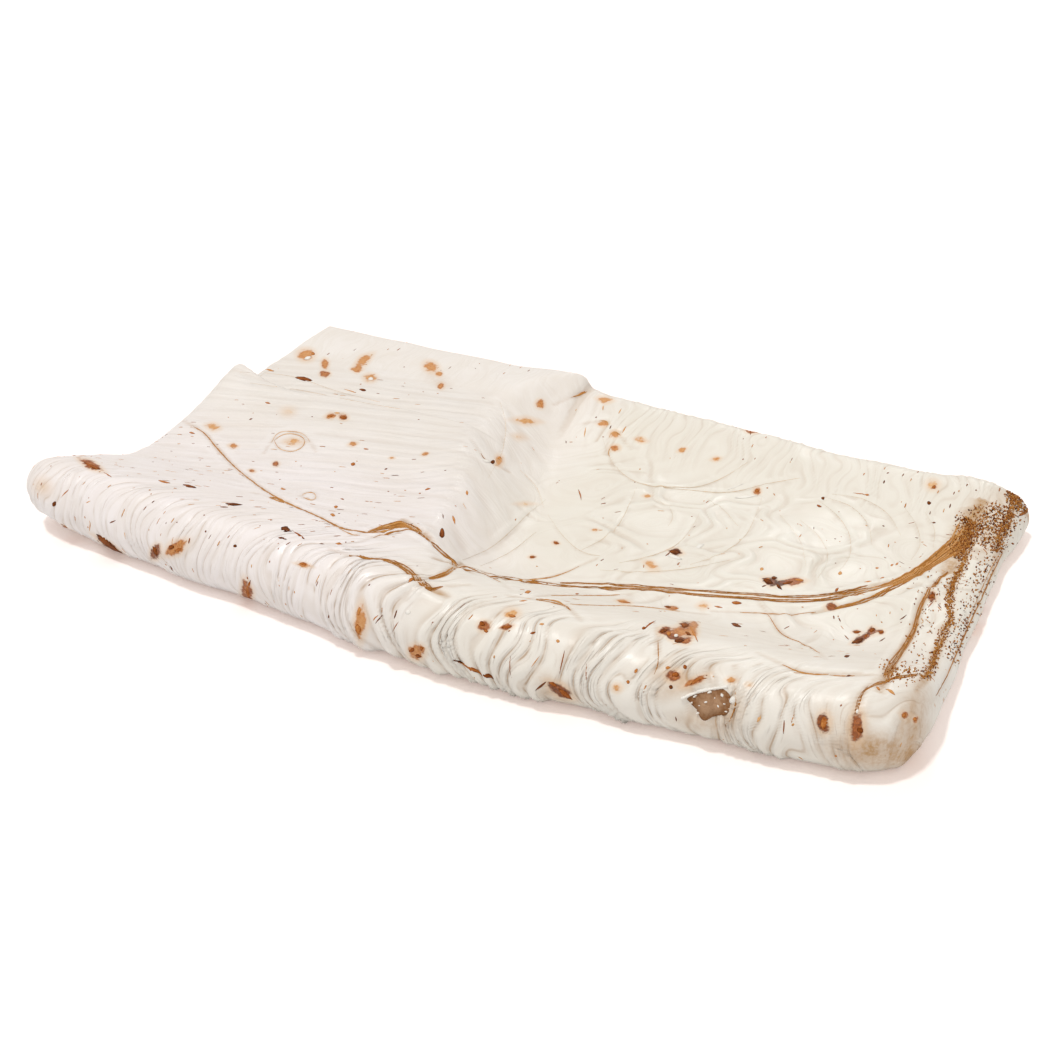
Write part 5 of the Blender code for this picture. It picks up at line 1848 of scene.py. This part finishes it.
class LavashColours(bpy.types.PropertyGroup):
    """Colours of the dough and of its browned places."""

    cream: paint("Cream", "Yellowish cream, in the basin and on the back", (0.850, 0.818, 0.735))
    # Paler than the cream: besides its pink tone, over the ridge's shaded slope it is painted light
    blush_and_painted_light: paint("Blush", "Pinkish cream, on the left half", (0.930, 0.880, 0.870))
    shade: paint("Shade", "A slightly darker dough, in streaks and slow mottling", (0.720, 0.645, 0.545))
    valley_shade: paint("Valley Shade", "Warm brown of hollows and of the underside", (0.520, 0.390, 0.280))
    # Painted shade: the colour that hollows, fold valleys and the underside are darkened towards
    halo: paint("Halo", "Light orange tan round a toasted place", (0.780, 0.560, 0.370))
    stain: paint("Stain", "Golden brown where the dough is stained or dusted", (0.450, 0.225, 0.050))
    # The palest toast, and the painted shade of the thin strands along the soft folds
    pale: paint("Pale", "Greyish beige of the finest uncoloured folds", (0.690, 0.610, 0.510))
    tan: paint("Tan", "The palest toast", (0.800, 0.550, 0.310))
    amber: paint("Amber", "Light golden toast", (0.720, 0.390, 0.155))
    orange: paint("Orange", "Orange toast", (0.590, 0.245, 0.070))
    brown: paint("Brown", "Brown toast", (0.370, 0.104, 0.020))
    dark: paint("Dark Brown", "Dark brown toast", (0.165, 0.046, 0.011))
    char: paint("Char", "The darkest, nearly black toast", (0.040, 0.012, 0.006))
    white: paint("White", "Floury white flecks", (0.880, 0.850, 0.790))
    # The crumb runs from dark at the rim to light in the middle; the darker rim is painted shade
    crumb: paint("Torn Crumb", "Brown crumb inside the torn patch", (0.225, 0.095, 0.032))
    crumb_light: paint("Light Torn Crumb", "Lighter crumb inside the torn patch", (0.440, 0.270, 0.160))


class LavashStage(bpy.types.PropertyGroup):
    """The camera's place, the lights and the floor."""

    azimuth: angle("Azimuth", "The camera's turn from straight in front", 29.11)
    elevation: angle("Elevation", "The camera's angle above the floor", 27.04)
    distance: length("Distance", "From the camera to its target", 0.7073, 10.0)
    target: FloatVectorProperty(name="Target", description="The point the camera looks at",
                                default=(-0.0019, 0.0101, 0.0), subtype="TRANSLATION", unit="LENGTH")
    key_strength: strength("Key Light", "Strength of the light from above", 1.32)
    key_turn: angle("Key Turn", "The key light's turn from behind towards the left", 104.0)
    key_elevation: angle("Key Elevation", "The key light's angle above the floor", 74.0)
    key_softness: angle("Key Softness", "Angle that the key light fills", 6.0)
    fill_strength: strength("Fill Light", "Strength of the light from the front", 0.27)
    back_strength: strength("Back Light", "Strength of the low light from behind, for gloss", 0.16)
    sky_strength: strength("Sky", "Strength of the light from all round", 0.60)
    floor_size: length("Floor Size", "Width of the floor", 200.0, 400.0)


class LAVASH_OT_skin(bpy.types.Operator):
    """Build the bread's closed skin with its folds, creases and toasted places"""

    bl_idname = "lavash.skin"
    bl_label = "Bread Skin"

    def execute(self, context):
        """Work out the skin and put it in place of the plain solid."""
        SHARED.clear()
        fine = skin(context)
        points, faces = skin_mesh(fine)
        values = skin_values(fine, context.scene.lavash_sizes)
        piece = make_piece("lavash_skin", points, faces, dough_material(context), values)
        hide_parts("lavash")
        return {"FINISHED"}


class LAVASH_OT_creases(bpy.types.Operator):
    """Lay browned strands along the creases and the streaky band, and pale painted shade in the soft folds
    """

    bl_idname = "lavash.creases"
    bl_label = "Browned Creases"

    def execute(self, context):
        """Build the strands in one mesh."""
        points, faces, tones, strands = creases_mesh(skin(context))
        values = {"tone": tones, "strand": strands}
        make_piece("browned_creases_and_fold_shade", points, faces, crease_material(context), values)
        return {"FINISHED"}


class LAVASH_OT_flecks(bpy.types.Operator):
    """Lay crisp dark and white flecks on the skin"""

    bl_idname = "lavash.flecks"
    bl_label = "Toast Flecks"

    def execute(self, context):
        """Build the flecks in one mesh."""
        points, faces, tones = flecks_mesh(skin(context))
        material = mark_material(context, "Toast Fleck", 0.22, 1.0, 0.00010, 0.0)
        make_piece("toast_flecks", points, faces, material, {"tone": tones})
        return {"FINISHED"}


class LAVASH_OT_dust(bpy.types.Operator):
    """Strew brown grains along the right edge"""

    bl_idname = "lavash.dust"
    bl_label = "Brown Grains"

    def execute(self, context):
        """Build the grains in one mesh."""
        points, faces, tones = dust_mesh(skin(context))
        material = mark_material(context, "Brown Grain", 0.30, 1.25, 0.00016, 0.60)
        make_piece("brown_grains", points, faces, material, {"tone": tones})
        return {"FINISHED"}


class LAVASH_OT_torn(bpy.types.Operator):
    """Fit the brown crumb and the white lip of the torn patch"""

    bl_idname = "lavash.torn"
    bl_label = "Torn Patch"

    def execute(self, context):
        """Build the patch and its lip."""
        points, faces, tones = torn_mesh(skin(context))
        make_piece("torn_patch", points, faces, torn_material(context), {"tone": tones})
        return {"FINISHED"}


def sun(name, energy, colour, place, stage):
    """A distant light: its turn to the left of straight behind, its elevation and softness."""
    turn, elevation, softness = place
    light = bpy.data.lights.new(name, "SUN")
    light.energy, light.color, light.angle = energy, colour, softness
    lamp = bpy.data.objects.new(name, light)
    heading = stage.azimuth + turn
    level = np.cos(elevation)
    towards = Vector((-np.sin(heading) * level, np.cos(heading) * level, np.sin(elevation)))
    lamp.rotation_euler = towards.to_track_quat("Z", "Y").to_euler()
    lamp.location = 2.0 * towards
    bpy.context.scene.collection.objects.link(lamp)


class LAVASH_OT_stage(bpy.types.Operator):
    """Set up the pale floor, the soft lights and the camera"""

    bl_idname = "lavash.stage"
    bl_label = "Floor, Lights and Camera"

    def execute(self, context):
        """Build the floor, three distant lights, an even sky and the camera.

        The floor glows a little where the camera sees it, as in an overexposed studio, so
        that its shadows stay light and warm.
        """
        stage = context.scene.lavash_stage
        half = 0.5 * stage.floor_size
        corners = half * np.array([(-1, -1, 0), (1, -1, 0), (1, 1, 0), (-1, 1, 0)], dtype=float)
        mesh = bpy.data.meshes.new("floor")
        mesh.from_pydata(corners.tolist(), [], [(0, 1, 2, 3)])
        material, pad, surface = new_material("Pale Floor")
        seen = pad.add("ShaderNodeLightPath").outputs["Is Camera Ray"]
        pad.feed(surface, {"Base Color": FLOOR_COLOUR, "Roughness": 1.0, "Specular IOR Level": 0.0,
                           "Emission Color": GLOW_COLOUR, "Emission Strength": pad.times(seen, FLOOR_GLOW)})
        mesh.materials.append(material)
        floor = bpy.data.objects.new("floor", mesh)
        context.scene.collection.objects.link(floor)
        key = (stage.key_turn, stage.key_elevation, stage.key_softness)
        sun("key_light", stage.key_strength, (1.0, 1.0, 0.990), key, stage)
        sun("back_light", stage.back_strength, (1.0, 1.0, 1.0), np.radians(BACK_LIGHT), stage)
        sun("fill_light", stage.fill_strength, (1.0, 0.985, 0.975), np.radians(FILL_LIGHT), stage)
        world = bpy.data.worlds.new("soft_sky")
        world.use_nodes = True
        sky = world.node_tree.nodes["Background"]
        sky.inputs["Color"].default_value = SKY_COLOUR
        sky.inputs["Strength"].default_value = stage.sky_strength
        context.scene.world = world
        context.scene.view_settings.view_transform = "Standard"
        eye, _, _, ahead = eye_and_axes(stage)
        lens = bpy.data.cameras.new("camera")
        lens.lens, lens.sensor_width = LENS, SENSOR
        camera = bpy.data.objects.new("camera", lens)
        camera.location = eye
        camera.rotation_euler = Vector(-ahead).to_track_quat("Z", "Y").to_euler()
        context.scene.collection.objects.link(camera)
        context.scene.camera = camera
        return {"FINISHED"}


STEPS = (LAVASH_OT_skin, LAVASH_OT_creases, LAVASH_OT_flecks, LAVASH_OT_dust, LAVASH_OT_torn,
         LAVASH_OT_stage)


class LAVASH_PT_panel(bpy.types.Panel):
    """The bread's steps, sizes and colours"""

    bl_idname = "LAVASH_PT_panel"
    bl_label = "Folded Lavash"
    bl_space_type = "VIEW_3D"
    bl_region_type = "UI"
    bl_category = "Lavash"

    def draw(self, context):
        """List the steps in order, then the values that can be changed."""
        for step in STEPS:
            self.layout.operator(step.bl_idname)
        for values in (getattr(context.scene, key) for key in GROUPS):
            box = self.layout.box()
            for key in values.__annotations__:
                box.prop(values, key)


CLASSES = (LavashSizes, LavashColours, LavashStage, *STEPS, LAVASH_PT_panel)
GROUPS = {"lavash_sizes": LavashSizes, "lavash_colours": LavashColours, "lavash_stage": LavashStage}


def register():
    """Register the classes and give the scene their values."""
    for kind in CLASSES:
        bpy.utils.register_class(kind)
    for key, kind in GROUPS.items():
        setattr(bpy.types.Scene, key, PointerProperty(type=kind))


def unregister():
    """Take the values and the classes away again."""
    for key in GROUPS:
        delattr(bpy.types.Scene, key)
    for kind in reversed(CLASSES):
        bpy.utils.unregister_class(kind)


def main():
    """Build everything in order."""
    register()
    bpy.ops.lavash.skin()
    bpy.ops.lavash.creases()
    bpy.ops.lavash.flecks()
    bpy.ops.lavash.dust()
    bpy.ops.lavash.torn()
    bpy.ops.lavash.stage()
    bpy.context.view_layer.update()


if __name__ == "__main__":
    main()
